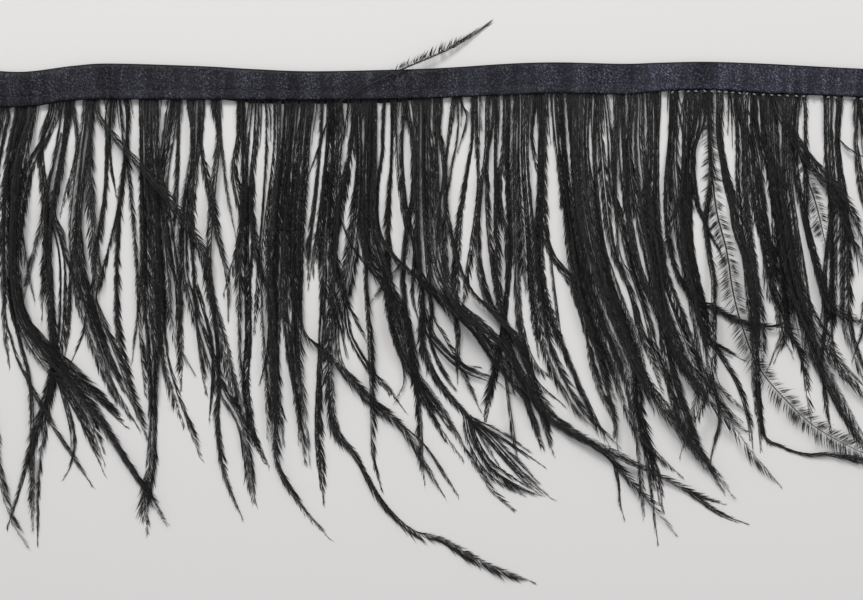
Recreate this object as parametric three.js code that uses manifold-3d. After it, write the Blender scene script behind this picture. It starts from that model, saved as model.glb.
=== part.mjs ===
// Ostrich feather fringe trim: black ostrich barbs, gathered in locks and sewn into a folded satin ribbon.
// Millimetres, +Z up. The trim lies flat: the ribbon runs along X and the barbs fall towards -Y.
// Origin: middle of the ribbon's length, on the flat back of the ribbon.
import * as THREE from 'three';
import { mergeVertices } from 'three/addons/utils/BufferGeometryUtils.js';
import Module from 'manifold-3d';

const wasm = await Module();
wasm.setup();

// ---------------------------------------------------------------- driving dimensions
const ribbonEnd = 160;        // the ribbon is cut plainly at X = -160 and X = +160
const leafThick = 0.4;        // one leaf of the folded ribbon, lining included
const ribbonThick = 2.4;      // both leaves and the barb roots between them
const ribbonStep = 16;        // distance between the ribbon's stations along X
const foldSides = 5;          // flats round the fold at the ribbon's top edge
const edgeDivisions = 400;    // points that the ribbon's edge curves are read from
const rootY = 0.6;            // how deep in the fold a lock's root sits
const exitDrop = 2.2;         // a strand stays level until this far below the ribbon's lower edge
const barbLayer = 0.7;        // thickness of a lock where it is fullest
const gap = 0.3;              // clear space between pieces that touch
const rootZ = ribbonThick / 2;
const tableZ = barbLayer / 2 + 0.15;   // height of a strand's middle where it lies on the table
const sampleStep = 1.5;       // spacing of the points that test whether two strands cross
const forkBelow = -8.5;       // a route that starts lower than this forks off another strand
const cell = 5;               // size of the squares that strands are looked up in
const threadRise = 2.8;       // the sewing runs this far above the ribbon's lower edge
const threadWidth = 0.5;
const threadThick = 0.3;
const threadInset = 2;        // and stops this far short of the ribbon's ends

// Ribbon edges, read along X: [x, upper edge y, lower edge y]. The hand-sewn trim isn't quite straight.
const ribbonEdge = [
  [-160, 5.2, -7.6], [-143, 4.1, -8.2], [-125, 6.2, -5.8], [-112, 7, -5.5], [-81, 6.1, -5.6],
  [-63, 5.1, -5.6],
  [-42, 4.3, -5.7], [-11, 4.9, -5.3], [6.5, 5.6, -4.8], [28, 7, -3.9], [45, 7.4, -3.3], [67, 6.9, -3.7],
  [80, 7.3, -2.6], [96, 7.6, -2], [115, 7, -3.2], [136, 5.9, -4], [160, 4.7, -5.2],
];

// A strand is a width and the points it passes on its way from the ribbon's edge to its tip.
const strand = (width, ...route) => ({ width, route });

// The locks, from the ribbon's left end to its right end. A strand whose route starts at the ribbon has its
// root in the fold. One that starts further down forks off a strand of its own lock.
const locks = [
  [strand(2.4, [-157, -8], [-159, -25], [-160.5, -50], [-160, -80], [-157.5, -105], [-148, -146],
      [-140.5, -162]),
    strand(1.6, [-154, -8], [-156, -25], [-158, -50], [-156, -80], [-153, -102])],
  [strand(1.2, [-150, -8], [-152, -20], [-158, -40]),
    strand(1.5, [-147.8, -8], [-149, -16], [-151, -25], [-154, -45], [-155, -80])],
  [strand(3, [-144.4, -8], [-147.5, -25], [-149.5, -45], [-149.5, -68], [-149, -85], [-147.5, -99.5]),
    strand(3.6, [-142.8, -8], [-145.5, -25], [-147, -45], [-147, -65], [-145, -78], [-139, -90],
      [-130, -102.5],
      [-121, -117.5], [-113, -136.5]),
    strand(1.4, [-147, -64], [-147, -78], [-144, -90], [-140.5, -103], [-139.4, -118], [-139.7, -156.5]),
    strand(1, [-149, -82], [-145.5, -95], [-141, -104], [-133, -119], [-118.5, -141]),
    strand(1.5, [-131, -101], [-125.5, -121], [-126, -132], [-128.7, -138]),
    strand(2.2, [-130.5, -101.5], [-127, -108], [-122.5, -117], [-118.5, -126], [-115.5, -133])],
  [strand(2, [-139.6, -8], [-143.5, -28], [-145.3, -50], [-145.3, -68], [-142.5, -82], [-135, -93],
    [-121, -109.5], [-107, -131], [-92, -154.5]),
    strand(1.8, [-139, -8], [-142.5, -30], [-144, -55], [-143, -76], [-137.5, -87], [-124, -102],
      [-107, -120.5]),
    strand(0.9, [-143.4, -40], [-142.5, -52], [-140.5, -66], [-138.8, -76])],
  [strand(1.6, [-131.6, -7], [-134, -16], [-138.5, -25], [-142, -34], [-146, -60]),
    strand(1.4, [-133, -7.5], [-136.2, -22], [-134.5, -40], [-133.6, -54], [-136, -72], [-136.5, -83])],
  [strand(2.3, [-128, -6], [-129.5, -18], [-132.2, -35], [-133.5, -50], [-133, -72], [-131.7, -97],
    [-133.5, -113], [-136.3, -135], [-137.3, -162]),
    strand(1.8, [-126, -6], [-127.6, -18], [-130, -32], [-132.3, -44], [-130, -52], [-126, -65], [-120, -80]),
    strand(0.9, [-129.4, -17], [-135, -42], [-142.5, -76]),
    strand(1.8, [-132.8, -45], [-129.3, -60], [-129, -76], [-130.5, -93], [-139, -124], [-144, -140],
      [-149, -155.5]),
    strand(0.9, [-124.8, -6], [-124.2, -15], [-124.4, -24], [-130, -46])],
  [strand(4.2, [-120, -6], [-120.3, -15], [-122, -30], [-124, -52], [-122.5, -70], [-118.5, -85],
      [-112.5, -102],
    [-102, -121.5]),
    strand(1.4, [-118.8, -6], [-119.3, -30], [-118, -50], [-116.2, -66], [-117.5, -77], [-108.5, -102],
      [-99.7, -125]),
    strand(1.4, [-123.6, -50], [-125.6, -64], [-126.6, -78], [-127, -88], [-128.4, -96]),
    strand(0.9, [-120.3, -79], [-122, -88], [-126.7, -99])],
  [strand(2, [-116.6, -6], [-115, -12.5], [-106, -23.5], [-95, -36.5], [-85, -49.5], [-79, -61], [-77.3, -72],
    [-75.5, -92])],
  [strand(1.6, [-112.6, -6], [-113.2, -20], [-114, -36], [-116.3, -52], [-118.5, -72]),
    strand(0.8, [-111.9, -6], [-112.4, -27], [-110.4, -40]),
    strand(0.8, [-108.9, -6], [-108.2, -17], [-107.5, -30]),
    strand(1.5, [-106.7, -6], [-106.5, -18], [-108.8, -38], [-110.2, -58], [-110.4, -86], [-104, -112]),
    strand(1, [-106.4, -6], [-106.6, -22], [-105.5, -38], [-103.3, -60], [-102.3, -82], [-100.3, -109]),
    strand(0.8, [-108.9, -39], [-112, -53], [-117.8, -76])],
  [strand(2.8, [-101.2, -6], [-101, -22], [-100.5, -48], [-100, -74], [-98.3, -92], [-97.4, -112],
      [-98, -131],
    [-100.2, -147], [-98.8, -157.5]),
    strand(0.9, [-100.4, -56], [-102.5, -78], [-104.7, -97.5])],
  [strand(3.6, [-98, -6], [-97.8, -22], [-96.8, -48], [-95.4, -74], [-95, -92], [-97.5, -118]),
    strand(2.3, [-96.4, -6], [-96, -22], [-93.8, -48], [-91.8, -72], [-90, -88], [-83, -102.5]),
    strand(1.4, [-96.9, -34], [-94.8, -60], [-94, -88], [-91, -105], [-81.5, -131.5])],
  [strand(1.5, [-91.6, -6], [-93, -17], [-96, -38]),
    strand(1.8, [-89.3, -6], [-91, -20], [-92.9, -36], [-90.5, -55], [-88, -75], [-88, -107.5]),
    strand(1.2, [-88.4, -6], [-89, -25], [-89.7, -40], [-90.6, -54])],
  [strand(1.3, [-84.8, -6], [-83.6, -16], [-84, -26], [-87, -44], [-88.7, -62], [-88, -88]),
    strand(1.8, [-85.4, -35], [-86, -60], [-84.5, -72], [-74.5, -104], [-66.5, -120], [-61.7, -147])],
  [strand(1.8, [-81.9, -6], [-82.2, -20], [-83.2, -45], [-82.3, -68], [-80, -92], [-78, -108.5]),
    strand(1.3, [-80.9, -6], [-81, -22], [-78, -38], [-75.3, -54], [-72, -69], [-71.5, -83]),
    strand(1.2, [-82.2, -70], [-77.5, -88], [-76.5, -100], [-77.5, -118])],
  [strand(1.7, [-75.3, -6], [-74, -18], [-75.5, -35], [-77.2, -55], [-77.2, -70], [-72.5, -90], [-65, -120]),
    strand(0.8, [-74.3, -6], [-73.3, -20], [-71.3, -38], [-68.3, -54]),
    strand(1.4, [-76.9, -72], [-74.5, -100], [-75, -118], [-73, -135], [-66, -152.5])],
  [strand(1.4, [-67.4, -6], [-67.6, -18], [-69.3, -30], [-66.8, -44], [-66, -53]),
    strand(0.9, [-66.3, -6], [-65.8, -30], [-67.5, -53], [-73, -74]),
    strand(1.2, [-65.9, -6], [-65.5, -35], [-66.5, -60], [-67, -85], [-65.5, -113])],
  [strand(0.8, [-62.6, -6], [-64, -22], [-64.7, -40], [-64.5, -55]),
    strand(1.7, [-61.2, -6], [-61.8, -18], [-63.8, -40], [-61.5, -61], [-56, -77]),
    strand(2.6, [-63.4, -36], [-63.8, -65], [-63.5, -88], [-64.4, -104], [-62.5, -121], [-57, -134.5]),
    strand(0.9, [-57.9, -7], [-57.8, -22], [-59.2, -44], [-61, -66], [-62.5, -88])],
  [strand(3.2, [-53.8, -8], [-54, -22], [-56.2, -46], [-57, -66], [-56.2, -88], [-55.5, -112], [-55.3, -132],
    [-47, -147], [-36, -160.3]),
    strand(0.8, [-56.5, -82], [-57.5, -95], [-60, -105])],
  [strand(3.6, [-50, -8], [-51, -22], [-53, -42], [-53.7, -64], [-54.1, -88], [-54, -112], [-53, -126.5]),
    strand(3.4, [-47, -8], [-48.2, -22], [-50, -48], [-50.5, -72], [-48.8, -94], [-46, -115], [-46, -126])],
  [strand(2.8, [-43.6, -8], [-44.8, -22], [-46.7, -44], [-47, -70], [-47, -95], [-43.2, -133.5]),
    strand(1.8, [-41.6, -8], [-43, -19], [-44.8, -44], [-45, -68], [-44.6, -85], [-38, -92.5], [-29, -101.5],
      [-21, -110.5], [-9.5, -120.5], [-2.5, -131], [5.4, -144.5]),
    strand(1, [-14, -116.6], [-5, -123.5], [0.5, -130], [9.3, -144])],
  [strand(3, [-36.9, -8], [-37.2, -20], [-39, -42], [-41.5, -60], [-43, -72]),
    strand(3.2, [-34.6, -8], [-34.6, -22], [-36.3, -44], [-37.5, -64], [-36.3, -88]),
    strand(0.8, [-37, -15], [-40.5, -25], [-43.8, -34]),
    strand(2.8, [-37.4, -69], [-34.4, -77], [-32.3, -84], [-31.6, -91], [-29.5, -98], [-26, -103]),
    strand(1.6, [-37.4, -66], [-39.5, -95], [-40.5, -120], [-38.2, -147.5])],
  [strand(1.6, [-31.6, -8], [-32.3, -30], [-33.5, -60], [-35.5, -85], [-35.7, -105], [-33.5, -121],
      [-26.8, -130],
    [-18, -145.6], [-7.5, -156.5], [4, -160.5], [20, -169.5], [36.2, -175.4])],
  [strand(1.5, [-27.2, -7], [-28, -21], [-30.7, -38], [-33.8, -57], [-31.5, -69.5], [-27, -82],
      [-21.5, -92.5]),
    strand(1.4, [-26, -7], [-25.3, -30], [-26.6, -50], [-28.6, -65], [-32, -80], [-36, -98.5]),
    strand(1.2, [-30.5, -72], [-29.8, -80], [-28.6, -87], [-25.6, -93], [-21, -100], [-15.5, -106],
      [-9, -115]),
    strand(0.8, [-32.2, -46], [-27.5, -57.5], [-16, -72])],
  [strand(3.2, [-22.6, -7], [-23.1, -25], [-23.2, -48], [-20.5, -62], [-14.5, -71.5], [-9.5, -80.5],
      [-6.5, -92],
    [-4.5, -106], [2, -120], [10.5, -132.5]),
    strand(1.3, [-21.6, -7], [-22, -40], [-22.8, -66], [-21.6, -90], [-21, -112], [-20.4, -130],
      [-17, -142.8]),
    strand(2.6, [-20.2, -7], [-20.3, -25], [-20.3, -50], [-16.5, -64], [-13.7, -74], [-12.7, -86],
      [-8.5, -97.5],
      [-1.5, -108], [7.5, -121], [20, -141], [29.2, -150])],
  [strand(1.2, [-16.6, -8], [-17.3, -23], [-18.9, -38], [-18.2, -51], [-13.5, -59.5], [-6, -67], [2, -73.5],
    [11, -80.5], [19, -88.5], [25, -98], [27.8, -116], [30, -130.5]),
    strand(1.2, [-13.8, -7], [-13.9, -24], [-14.9, -46], [-15, -66], [-15, -80], [-9.9, -101], [-12.8, -111]),
    strand(0.9, [-12.9, -7], [-12, -24], [-10.4, -42], [-8, -57], [-12.5, -66], [-21.4, -77])],
  [strand(1.4, [-9.5, -7], [-10.2, -24], [-9, -41], [-6.2, -54], [-3.4, -67], [3.5, -75.5], [9, -84],
      [10, -97],
    [17.5, -99.3]),
    strand(1.2, [-8.5, -7], [-6, -23], [-6.1, -37], [-9, -53], [-10.2, -67], [-8.8, -82], [-4.7, -112],
      [-3.7, -130], [-2.5, -140.5])],
  [strand(2.1, [-4.4, -5.5], [-4.4, -22], [-4.6, -46], [-4, -64], [-3, -78], [-3.4, -90], [0.5, -101],
      [7, -110],
    [14, -118], [24, -134.8]),
    strand(0.8, [-4.7, -50], [-6.3, -66], [-6.2, -75], [-4, -84]),
    strand(1.6, [-3, -79], [-0.8, -87], [3.5, -92.6], [8.5, -97.5], [13, -100.5], [21, -103.8], [27, -108.5]),
    strand(1.6, [12.4, -116], [14.5, -124], [19, -132.5], [25, -138], [32, -142], [39, -144.3]),
    strand(1.4, [13.5, -117.4], [20, -123.5], [27, -131.5], [34, -139], [42, -145.8]),
    strand(1.2, [13, -116.8], [20, -120.5], [26, -124.5], [31, -128.5], [39.8, -134.5])],
  [strand(2.4, [-1.5, -5.5], [-1.6, -22], [-1.3, -46], [0, -62], [5, -75], [15, -84], [24, -94.5],
      [36, -109.5],
    [40.5, -116], [48, -121.5], [58, -127.5], [64, -133], [71, -141], [78, -149], [86, -158.5]),
    strand(2.2, [3.6, -71.5], [8.5, -79.8], [15, -87.5], [20.5, -95.5], [27, -103.5], [33.5, -112],
      [39.4, -127]),
    strand(1.2, [64, -133], [65.5, -140], [66.2, -146], [67.8, -152.5]),
    strand(0.9, [-0.2, -60], [-0.5, -78], [5, -89.5], [9.5, -97.5], [12, -104], [17.5, -115])],
  [strand(2.2, [1.4, -5.5], [1.3, -22], [2, -44], [3.7, -62], [9, -77], [18, -85], [27, -94.5], [38, -112.5],
      [46, -120], [56, -125.5], [66, -130.5], [80, -137], [93, -144], [103.3, -147]),
    strand(1.5, [89, -141.8], [95, -146.5], [102, -151.2], [111, -154.5]),
    strand(1.2, [2.9, -5.5], [2.4, -15], [4, -28], [4.6, -43], [8, -59.5], [13, -71.5], [22, -81.5],
      [29, -90],
      [36, -108], [42.5, -130])],
  [strand(0.8, [7.6, -5], [6, -18.5], [4.2, -31], [2.4, -46], [1.6, -62]),
    strand(1, [9.2, -5], [9.1, -18], [6.9, -31], [5.1, -44], [5.4, -60], [6.2, -74]),
    strand(0.8, [10.3, -5], [12.2, -12], [9, -24])],
  [strand(1.2, [14.5, -5], [14.1, -20], [12, -34], [9.8, -50], [9.1, -66], [8.8, -84], [9, -105]),
    strand(1.1, [15.7, -5], [15.9, -26], [16, -37], [13.7, -55], [12, -67], [10.8, -80])],
  [strand(1.2, [19.4, -4.5], [19.2, -22], [17.4, -36], [16.2, -48], [16.6, -63], [20, -77], [27, -87.5],
    [34.5, -104]),
    strand(1.1, [21.6, -4.5], [21.1, -16], [19.7, -26], [19.6, -46], [21.5, -65], [24.6, -82], [28.5, -108]),
    strand(1.2, [22.6, -4.5], [22.3, -28], [22.6, -54], [23.8, -75], [29, -96], [34.5, -115],
      [38.5, -127.5])],
  [strand(1.2, [25.7, -4.5], [25.3, -24], [23.6, -39], [26.5, -57], [25, -76]),
    strand(1.4, [27, -4.5], [26.7, -30], [27.8, -58], [26, -79], [23.6, -94], [18.5, -118.5])],
  [strand(1.5, [29.4, -4.5], [29, -28], [29.7, -58], [31.2, -82], [36, -97.5], [44.5, -104.5]),
    strand(1.6, [31, -4.5], [31, -27], [32.6, -52], [34, -74], [37.3, -96]),
    strand(1, [32, -87], [36.5, -103], [46.5, -112.5])],
  [strand(1.8, [33.4, -4.5], [33, -27], [34.8, -50], [37, -72], [40, -88], [43, -98], [52, -114],
      [66, -128])],
  [strand(0.8, [35.9, -4.5], [34.9, -20], [38, -36]),
    strand(1.8, [38, -4.5], [38.3, -25], [38.2, -64], [41, -79], [46, -93], [54, -111.5], [62.5, -127.5]),
    strand(1.5, [39.2, -4.5], [38.9, -26], [39.4, -44], [41.3, -57.5], [49.5, -69.5], [53.8, -82],
      [55.3, -96],
      [58.5, -107], [63.3, -117], [63.8, -124]),
    strand(0.8, [41.3, -57], [43.3, -73], [45.8, -90])],
  [strand(1.6, [42.6, -4.5], [43.5, -18], [45.4, -32], [47.8, -50], [50, -69], [53.5, -84], [61, -110],
    [63, -118], [64.5, -128]),
    strand(2.4, [44.6, -4.5], [45.4, -18], [47.5, -40], [50.3, -60], [55, -81], [61, -97], [66, -111],
      [71, -121.5], [76, -127.5], [82, -133.5], [87.5, -138.5]),
    strand(1.4, [46.8, -34], [49, -52], [52, -68], [56.5, -86], [60, -100], [62, -112])],
  [strand(1.6, [48, -4.5], [48.9, -22], [50.4, -46], [54.4, -66], [60.5, -84], [66.5, -99], [70, -113],
    [72.5, -128], [74.8, -151.5]),
    strand(3.4, [50.6, -4.5], [50.8, -22], [52.3, -44], [56.5, -65], [64, -83], [71, -97.5], [78.5, -109.5],
      [87, -120], [94.5, -131], [105.3, -145.5])],
  [strand(2.8, [54, -4.5], [53.7, -22], [55.5, -44], [60, -66], [67, -84], [70.5, -98], [71.8, -114],
      [75, -128],
    [80, -161.5]),
    strand(2.2, [57, -51], [61.5, -64], [66.5, -78], [71, -90], [74, -101], [77.5, -110]),
    strand(1.2, [71.5, -110], [76, -126], [79, -138], [80.5, -150])],
  [strand(1.4, [57.4, -4.5], [57, -24], [58.2, -42], [60.4, -58], [64.5, -76], [70, -92], [77.5, -115]),
    strand(1.2, [58.6, -4.5], [59.3, -20], [60.9, -38], [63.4, -57], [69.5, -72], [73, -85], [80.5, -108]),
    strand(1.3, [60.6, -4.5], [62, -20], [62.8, -35], [66.5, -50], [70.5, -66], [75, -80], [77.8, -93],
      [82.5, -106], [86.5, -121])],
  [strand(1, [64.8, -4], [63.9, -24], [64.1, -48], [66, -62.5], [75, -72]),
    strand(2.4, [66.4, -4], [66.8, -24], [69, -46], [73, -65], [79.5, -80], [87, -97], [95, -109],
      [104, -118],
      [112, -128.5], [122.8, -141])],
  [strand(1.5, [70.2, -4], [69, -22], [71.3, -41], [76, -61], [80, -77], [87, -94.5], [94, -104],
      [103, -116.5],
    [110, -122]),
    strand(2.4, [72.4, -4], [72.2, -22], [74.5, -44], [78, -63], [80.5, -80], [83.5, -99], [88.5, -116],
      [94.5, -130.5], [103, -144])],
  [strand(2, [76.3, -4], [76.4, -24], [76, -42], [79.4, -61], [84, -78], [90, -93], [93.4, -102], [93, -108],
    [91, -117], [87, -131]),
    strand(2.2, [78.4, -4], [78.6, -26], [79, -46], [82, -66], [88, -82], [94, -98], [101, -107.5],
      [111.8, -116.8]),
    strand(1.2, [96.5, -101.5], [100, -110], [101, -118], [99.5, -124], [98, -130], [97.5, -135])],
  [strand(1.6, [84, -4], [83.6, -18], [81.8, -36], [82, -52], [85, -66], [91, -75], [98, -78.5], [107, -83],
    [116, -85], [124, -85.6], [129.5, -99]),
    strand(0.9, [85.4, -4], [88, -20], [87.5, -36], [84, -49], [80, -64]),
    strand(2, [84.8, -4], [84.8, -28], [86, -48], [87.8, -62], [90.6, -76], [93, -88], [94.8, -100],
      [98, -108],
      [103, -114.5], [108.5, -119])],
  [strand(1.6, [89.6, -4], [89, -18], [88.8, -36], [89, -54], [91, -68], [94.5, -82], [96.5, -90],
      [109.3, -97.5]),
    strand(1.2, [92.6, -4], [92.4, -15], [90.2, -24], [89.4, -40], [90.5, -58], [95.5, -88], [102, -107]),
    strand(1, [96.2, -89], [101, -95], [106.5, -105], [110, -117], [111.6, -128])],
  [strand(1.6, [95.4, -4], [94.5, -14], [91.4, -24], [92.3, -40], [96, -50], [103, -63]),
    strand(1.3, [96.4, -4], [97, -18], [97.4, -34], [95.5, -46], [96.5, -58], [98, -70], [96.6, -86],
      [95.2, -99],
      [92, -112], [88, -127]),
    strand(0.9, [97.3, -4], [97.6, -24], [99.5, -44], [103, -58], [105.3, -74], [109, -88], [114.5, -99.5],
      [123, -109.5], [133.5, -119.5], [147, -127.5], [158, -132])],
  [strand(2.2, [100.6, -4], [100.5, -18], [102.5, -30], [104.6, -38], [106, -50], [110, -62], [112.5, -75],
    [113.6, -90], [114.2, -108], [115.5, -129]),
    strand(1.1, [100.5, -12], [101.8, -32], [105.5, -49]),
    strand(1.3, [114.1, -104], [116, -122], [121, -126.3], [130, -129.4], [142, -130], [163, -135])],
  [strand(2.2, [107.3, -4], [108.2, -20], [108.6, -34], [109.8, -52], [111.5, -68], [113, -84], [113.7, -98]),
    strand(0.8, [106.2, -4], [106.8, -12], [108, -20])],
  [strand(1.6, [111, -4], [111, -16], [112, -32], [114, -46], [116.5, -58], [118.5, -72], [123, -84],
    [120, -94], [117.5, -101]),
    strand(2.4, [114, -4], [115.3, -18], [119, -30], [121, -44], [122, -58], [123, -72], [124.5, -86],
      [129, -95.5], [133, -119.5]),
    strand(1.8, [111, -14], [113.4, -26], [115.2, -38], [117.5, -52], [120, -64], [122, -74], [125.5, -86]),
    strand(0.8, [111, -9], [114.5, -18], [118, -27])],
  [strand(2.8, [119, -4], [119, -18], [120, -34], [122.5, -50], [125, -64], [128.5, -76], [133.5, -87],
    [141, -97], [151, -107], [160, -116]),
    strand(2, [120.6, -4], [123, -14], [131, -25.5], [140, -36], [147, -48], [158, -75]),
    strand(1.8, [120.2, -36], [124.4, -52], [126, -66], [127, -80], [129.5, -93], [131.5, -106])],
  [strand(2.6, [124.2, -4], [124, -18], [124.6, -34], [127, -50], [129.5, -64], [131.5, -78], [134, -92],
    [140, -105], [148, -119], [157, -133])],
  [strand(1.6, [127.8, -4], [126.9, -16], [127, -30], [129.6, -44], [132.5, -57], [136.5, -71.5],
      [141.5, -79],
    [154, -83.5]),
    strand(1.1, [130.4, -4], [130.8, -20], [130.8, -38], [131.3, -52], [134.5, -66], [136.6, -76],
      [135.5, -86]),
    strand(0.8, [126.9, -18], [131.5, -33], [134.5, -43], [138.5, -60])],
  [strand(3, [138.2, -5], [138.5, -22], [139.8, -42], [140, -62], [140, -80], [141.5, -95], [153, -112]),
    strand(1.2, [139.8, -45], [137.5, -66], [138, -82], [136.5, -97], [137.7, -108], [140, -122.5])],
  [strand(2.2, [142.4, -5], [142, -22], [144, -40], [144.6, -58], [144.8, -74], [145.5, -88], [153, -108]),
    strand(1, [144.4, -44], [147, -55], [149, -66]),
    strand(0.8, [142, -19], [146, -23.2], [158, -30])],
  [strand(1.4, [148.2, -5], [148.2, -20], [150, -36], [153.5, -50], [155, -66], [151, -82], [146.5, -97]),
    strand(1, [149.6, -5], [152, -25], [156, -44], [160, -60])],
  [strand(2.4, [155, -5], [155.5, -26], [157.5, -50], [159, -74], [161, -98], [163, -142]),
    strand(1.6, [157.4, -5], [160, -30], [163, -60], [164, -92])],
];

// One barb has come away from its neighbours and lies up over the ribbon's face.
const strayWidth = 1.2;
const strayRoute = [
  [-37.5, -17, 3], [-34, -8.6, 3.9], [-27, -3.9, 3.9], [-20, 0, 3.9], [-9.3, 4.9, 3.7], [3, 10.2, 2.8],
  [10, 14, 1.6],
  [19.8, 20.7, 0.6],
];

// ---------------------------------------------------------------- closed shapes from rings of points
// Joins equal rings into one closed shape. A last ring of a single point makes a pointed end.
function loft(rings) {
  const points = [];
  const faces = [];
  const first = rings.map((ring) => points.push(...ring) - ring.length);
  const sides = rings[0].length;
  for (let r = 0; r + 1 < rings.length; r += 1) {
    for (let i = 0; i < sides; i += 1) {
      const j = (i + 1) % sides;
      const pointed = rings[r + 1].length === 1;
      faces.push([first[r] + i, first[r] + j, pointed ? first[r + 1] : first[r + 1] + j]);
      if (!pointed) {
        faces.push([first[r] + i, first[r + 1] + j, first[r + 1] + i]);
      }
    }
  }
  return { points, faces, first };
}

// The flat end of a section across X, filled by ear cutting so that a U-shaped section works too.
function capFaces(ring, offset, turned) {
  const outline = ring.map((p) => new THREE.Vector2(p.y, p.z));
  return THREE.ShapeUtils.triangulateShape(outline, []).map(([a, b, c]) => (
    turned ? [offset + a, offset + c, offset + b] : [offset + a, offset + b, offset + c]));
}

function geometryOf(points, faces) {
  let triangles = faces;
  const volume = faces.reduce((sum, [a, b, c]) => (
    sum + points[a].clone().cross(points[b]).dot(points[c])), 0);
  if (volume < 0) {
    triangles = faces.map(([a, b, c]) => [a, c, b]);
  }
  const geometry = new THREE.BufferGeometry();
  geometry.setAttribute('position', new THREE.Float32BufferAttribute(points.flatMap((p) => p.toArray()), 3));
  geometry.setIndex(triangles.flat());
  return geometry;
}

// A length of one section that runs along X, cut square at both ends.
function cappedLoft(rings) {
  const { points, faces, first } = loft(rings);
  faces.push(...capFaces(rings[0], first[0], true));
  faces.push(...capFaces(rings.at(-1), first.at(-1), false));
  return geometryOf(points, faces);
}

function solidOf(geometry) {
  const merged = mergeVertices(geometry, 1e-4);
  return new wasm.Manifold(new wasm.Mesh({
    numProp: 3,
    vertProperties: new Float32Array(merged.getAttribute('position').array),
    triVerts: new Uint32Array(merged.getIndex().array),
  }));
}

function geometryOfSolid(solid) {
  const mesh = solid.getMesh();
  const geometry = new THREE.BufferGeometry();
  geometry.setAttribute('position', new THREE.Float32BufferAttribute(mesh.vertProperties, 3));
  geometry.setIndex(new THREE.Uint32BufferAttribute(mesh.triVerts, 1));
  geometry.computeVertexNormals();
  return geometry;
}

// ---------------------------------------------------------------- ribbon
const edgeCurve = (column) => new THREE.SplineCurve(
  ribbonEdge.map((row) => new THREE.Vector2(row[0], row[column])));
const edgePoints = [edgeCurve(1), edgeCurve(2)].map((curve) => curve.getPoints(edgeDivisions));

// Height in Y of the ribbon's upper (0) or lower (1) edge at a place along it.
function edgeAt(x, which) {
  const line = edgePoints[which];
  const after = Math.max(1, line.findIndex((p) => p.x >= x));
  const a = line[after - 1];
  const b = line[after];
  return a.y + (b.y - a.y) * THREE.MathUtils.clamp((x - a.x) / (b.x - a.x), 0, 1);
}

// The ribbon's section: the back leaf, the round fold at the top and the front leaf.
function ribbonRing(x) {
  const upper = edgeAt(x, 0);
  const lower = edgeAt(x, 1);
  const outer = ribbonThick / 2;
  const inner = outer - leafThick;
  const arc = (radius, side) => Array.from({ length: foldSides + 1 }, (_, i) => {
    const turn = side * (Math.PI / 2 - (Math.PI * i) / foldSides);
    return new THREE.Vector3(x, upper - outer + radius * Math.cos(turn), outer - radius * Math.sin(turn));
  });
  return [
    new THREE.Vector3(x, lower, 0), ...arc(outer, 1), new THREE.Vector3(x, lower, ribbonThick),
    new THREE.Vector3(x, lower, ribbonThick - leafThick), ...arc(inner, -1),
    new THREE.Vector3(x, lower, leafThick),
  ];
}

function ribbonGeometry() {
  const stations = Math.round((2 * ribbonEnd) / ribbonStep);
  const rings = Array.from({ length: stations + 1 }, (_, i) => (
    ribbonRing(-ribbonEnd + (2 * ribbonEnd * i) / stations)));
  return cappedLoft(rings);
}

// The sewing is one line of thread along the ribbon, drawn as a slim bar just over the front leaf.
function threadGeometry() {
  const stations = Math.round((2 * ribbonEnd) / ribbonStep);
  const middle = ribbonThick + gap + threadThick / 2;
  const rings = Array.from({ length: stations + 1 }, (_, i) => {
    const x = (ribbonEnd - threadInset) * ((2 * i) / stations - 1);
    const y = edgeAt(x, 1) + threadRise;
    return [[-1, -1], [1, -1], [1, 1], [-1, 1]].map(([side, up]) => (
      new THREE.Vector3(x, y + (side * threadWidth) / 2, middle + (up * threadThick) / 2)));
  });
  return cappedLoft(rings);
}

// ---------------------------------------------------------------- feather locks
// Narrow at the root, full from a fifth of the way, and drawn out to a point.
function fullness(t) {
  if (t < 0.2) {
    return 0.6 + 2 * t;
  }
  return t < 0.7 ? 1 : Math.max(0.15, 1 - 2.4 * (t - 0.7));
}

const startsInFold = (line) => line.route[0][1] > forkBelow;
const sweepOf = (lock) => Math.max(...lock.map(({ route }) => Math.abs(route.at(-1)[0] - route[0][0])));

// The stations of one strand: root and exit in the fold for one that is sewn in, then its route.
function stationsOf(line, rootX) {
  const [first, ...rest] = line.route;
  const start = startsInFold(line)
    ? [[rootX, rootY], [first[0], edgeAt(first[0], 1) - exitDrop]]
    : [first];
  const plan = [...start, ...rest].map(([x, y]) => new THREE.Vector3(x, y, tableZ));
  const held = start.length;
  plan.slice(0, held).forEach((p) => p.setZ(rootZ));
  const length = plan.slice(1).reduce((sum, p, i) => sum + p.distanceTo(plan[i]), 0);
  let run = 0;
  const widths = plan.map((p, i) => {
    run += i ? p.distanceTo(plan[i - 1]) : 0;
    return line.width * fullness(run / length);
  });
  return { plan, widths, held };
}

function samplesOf({ plan, widths }) {
  const samples = [];
  for (let k = 0; k + 1 < plan.length; k += 1) {
    const count = Math.ceil(plan[k].distanceTo(plan[k + 1]) / sampleStep);
    for (let i = 0; i <= count; i += 1) {
      const u = i / count;
      const place = plan[k].clone().lerp(plan[k + 1], u);
      samples.push({ place, half: THREE.MathUtils.lerp(widths[k], widths[k + 1], u) / 2, k, u });
    }
  }
  return samples;
}

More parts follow.
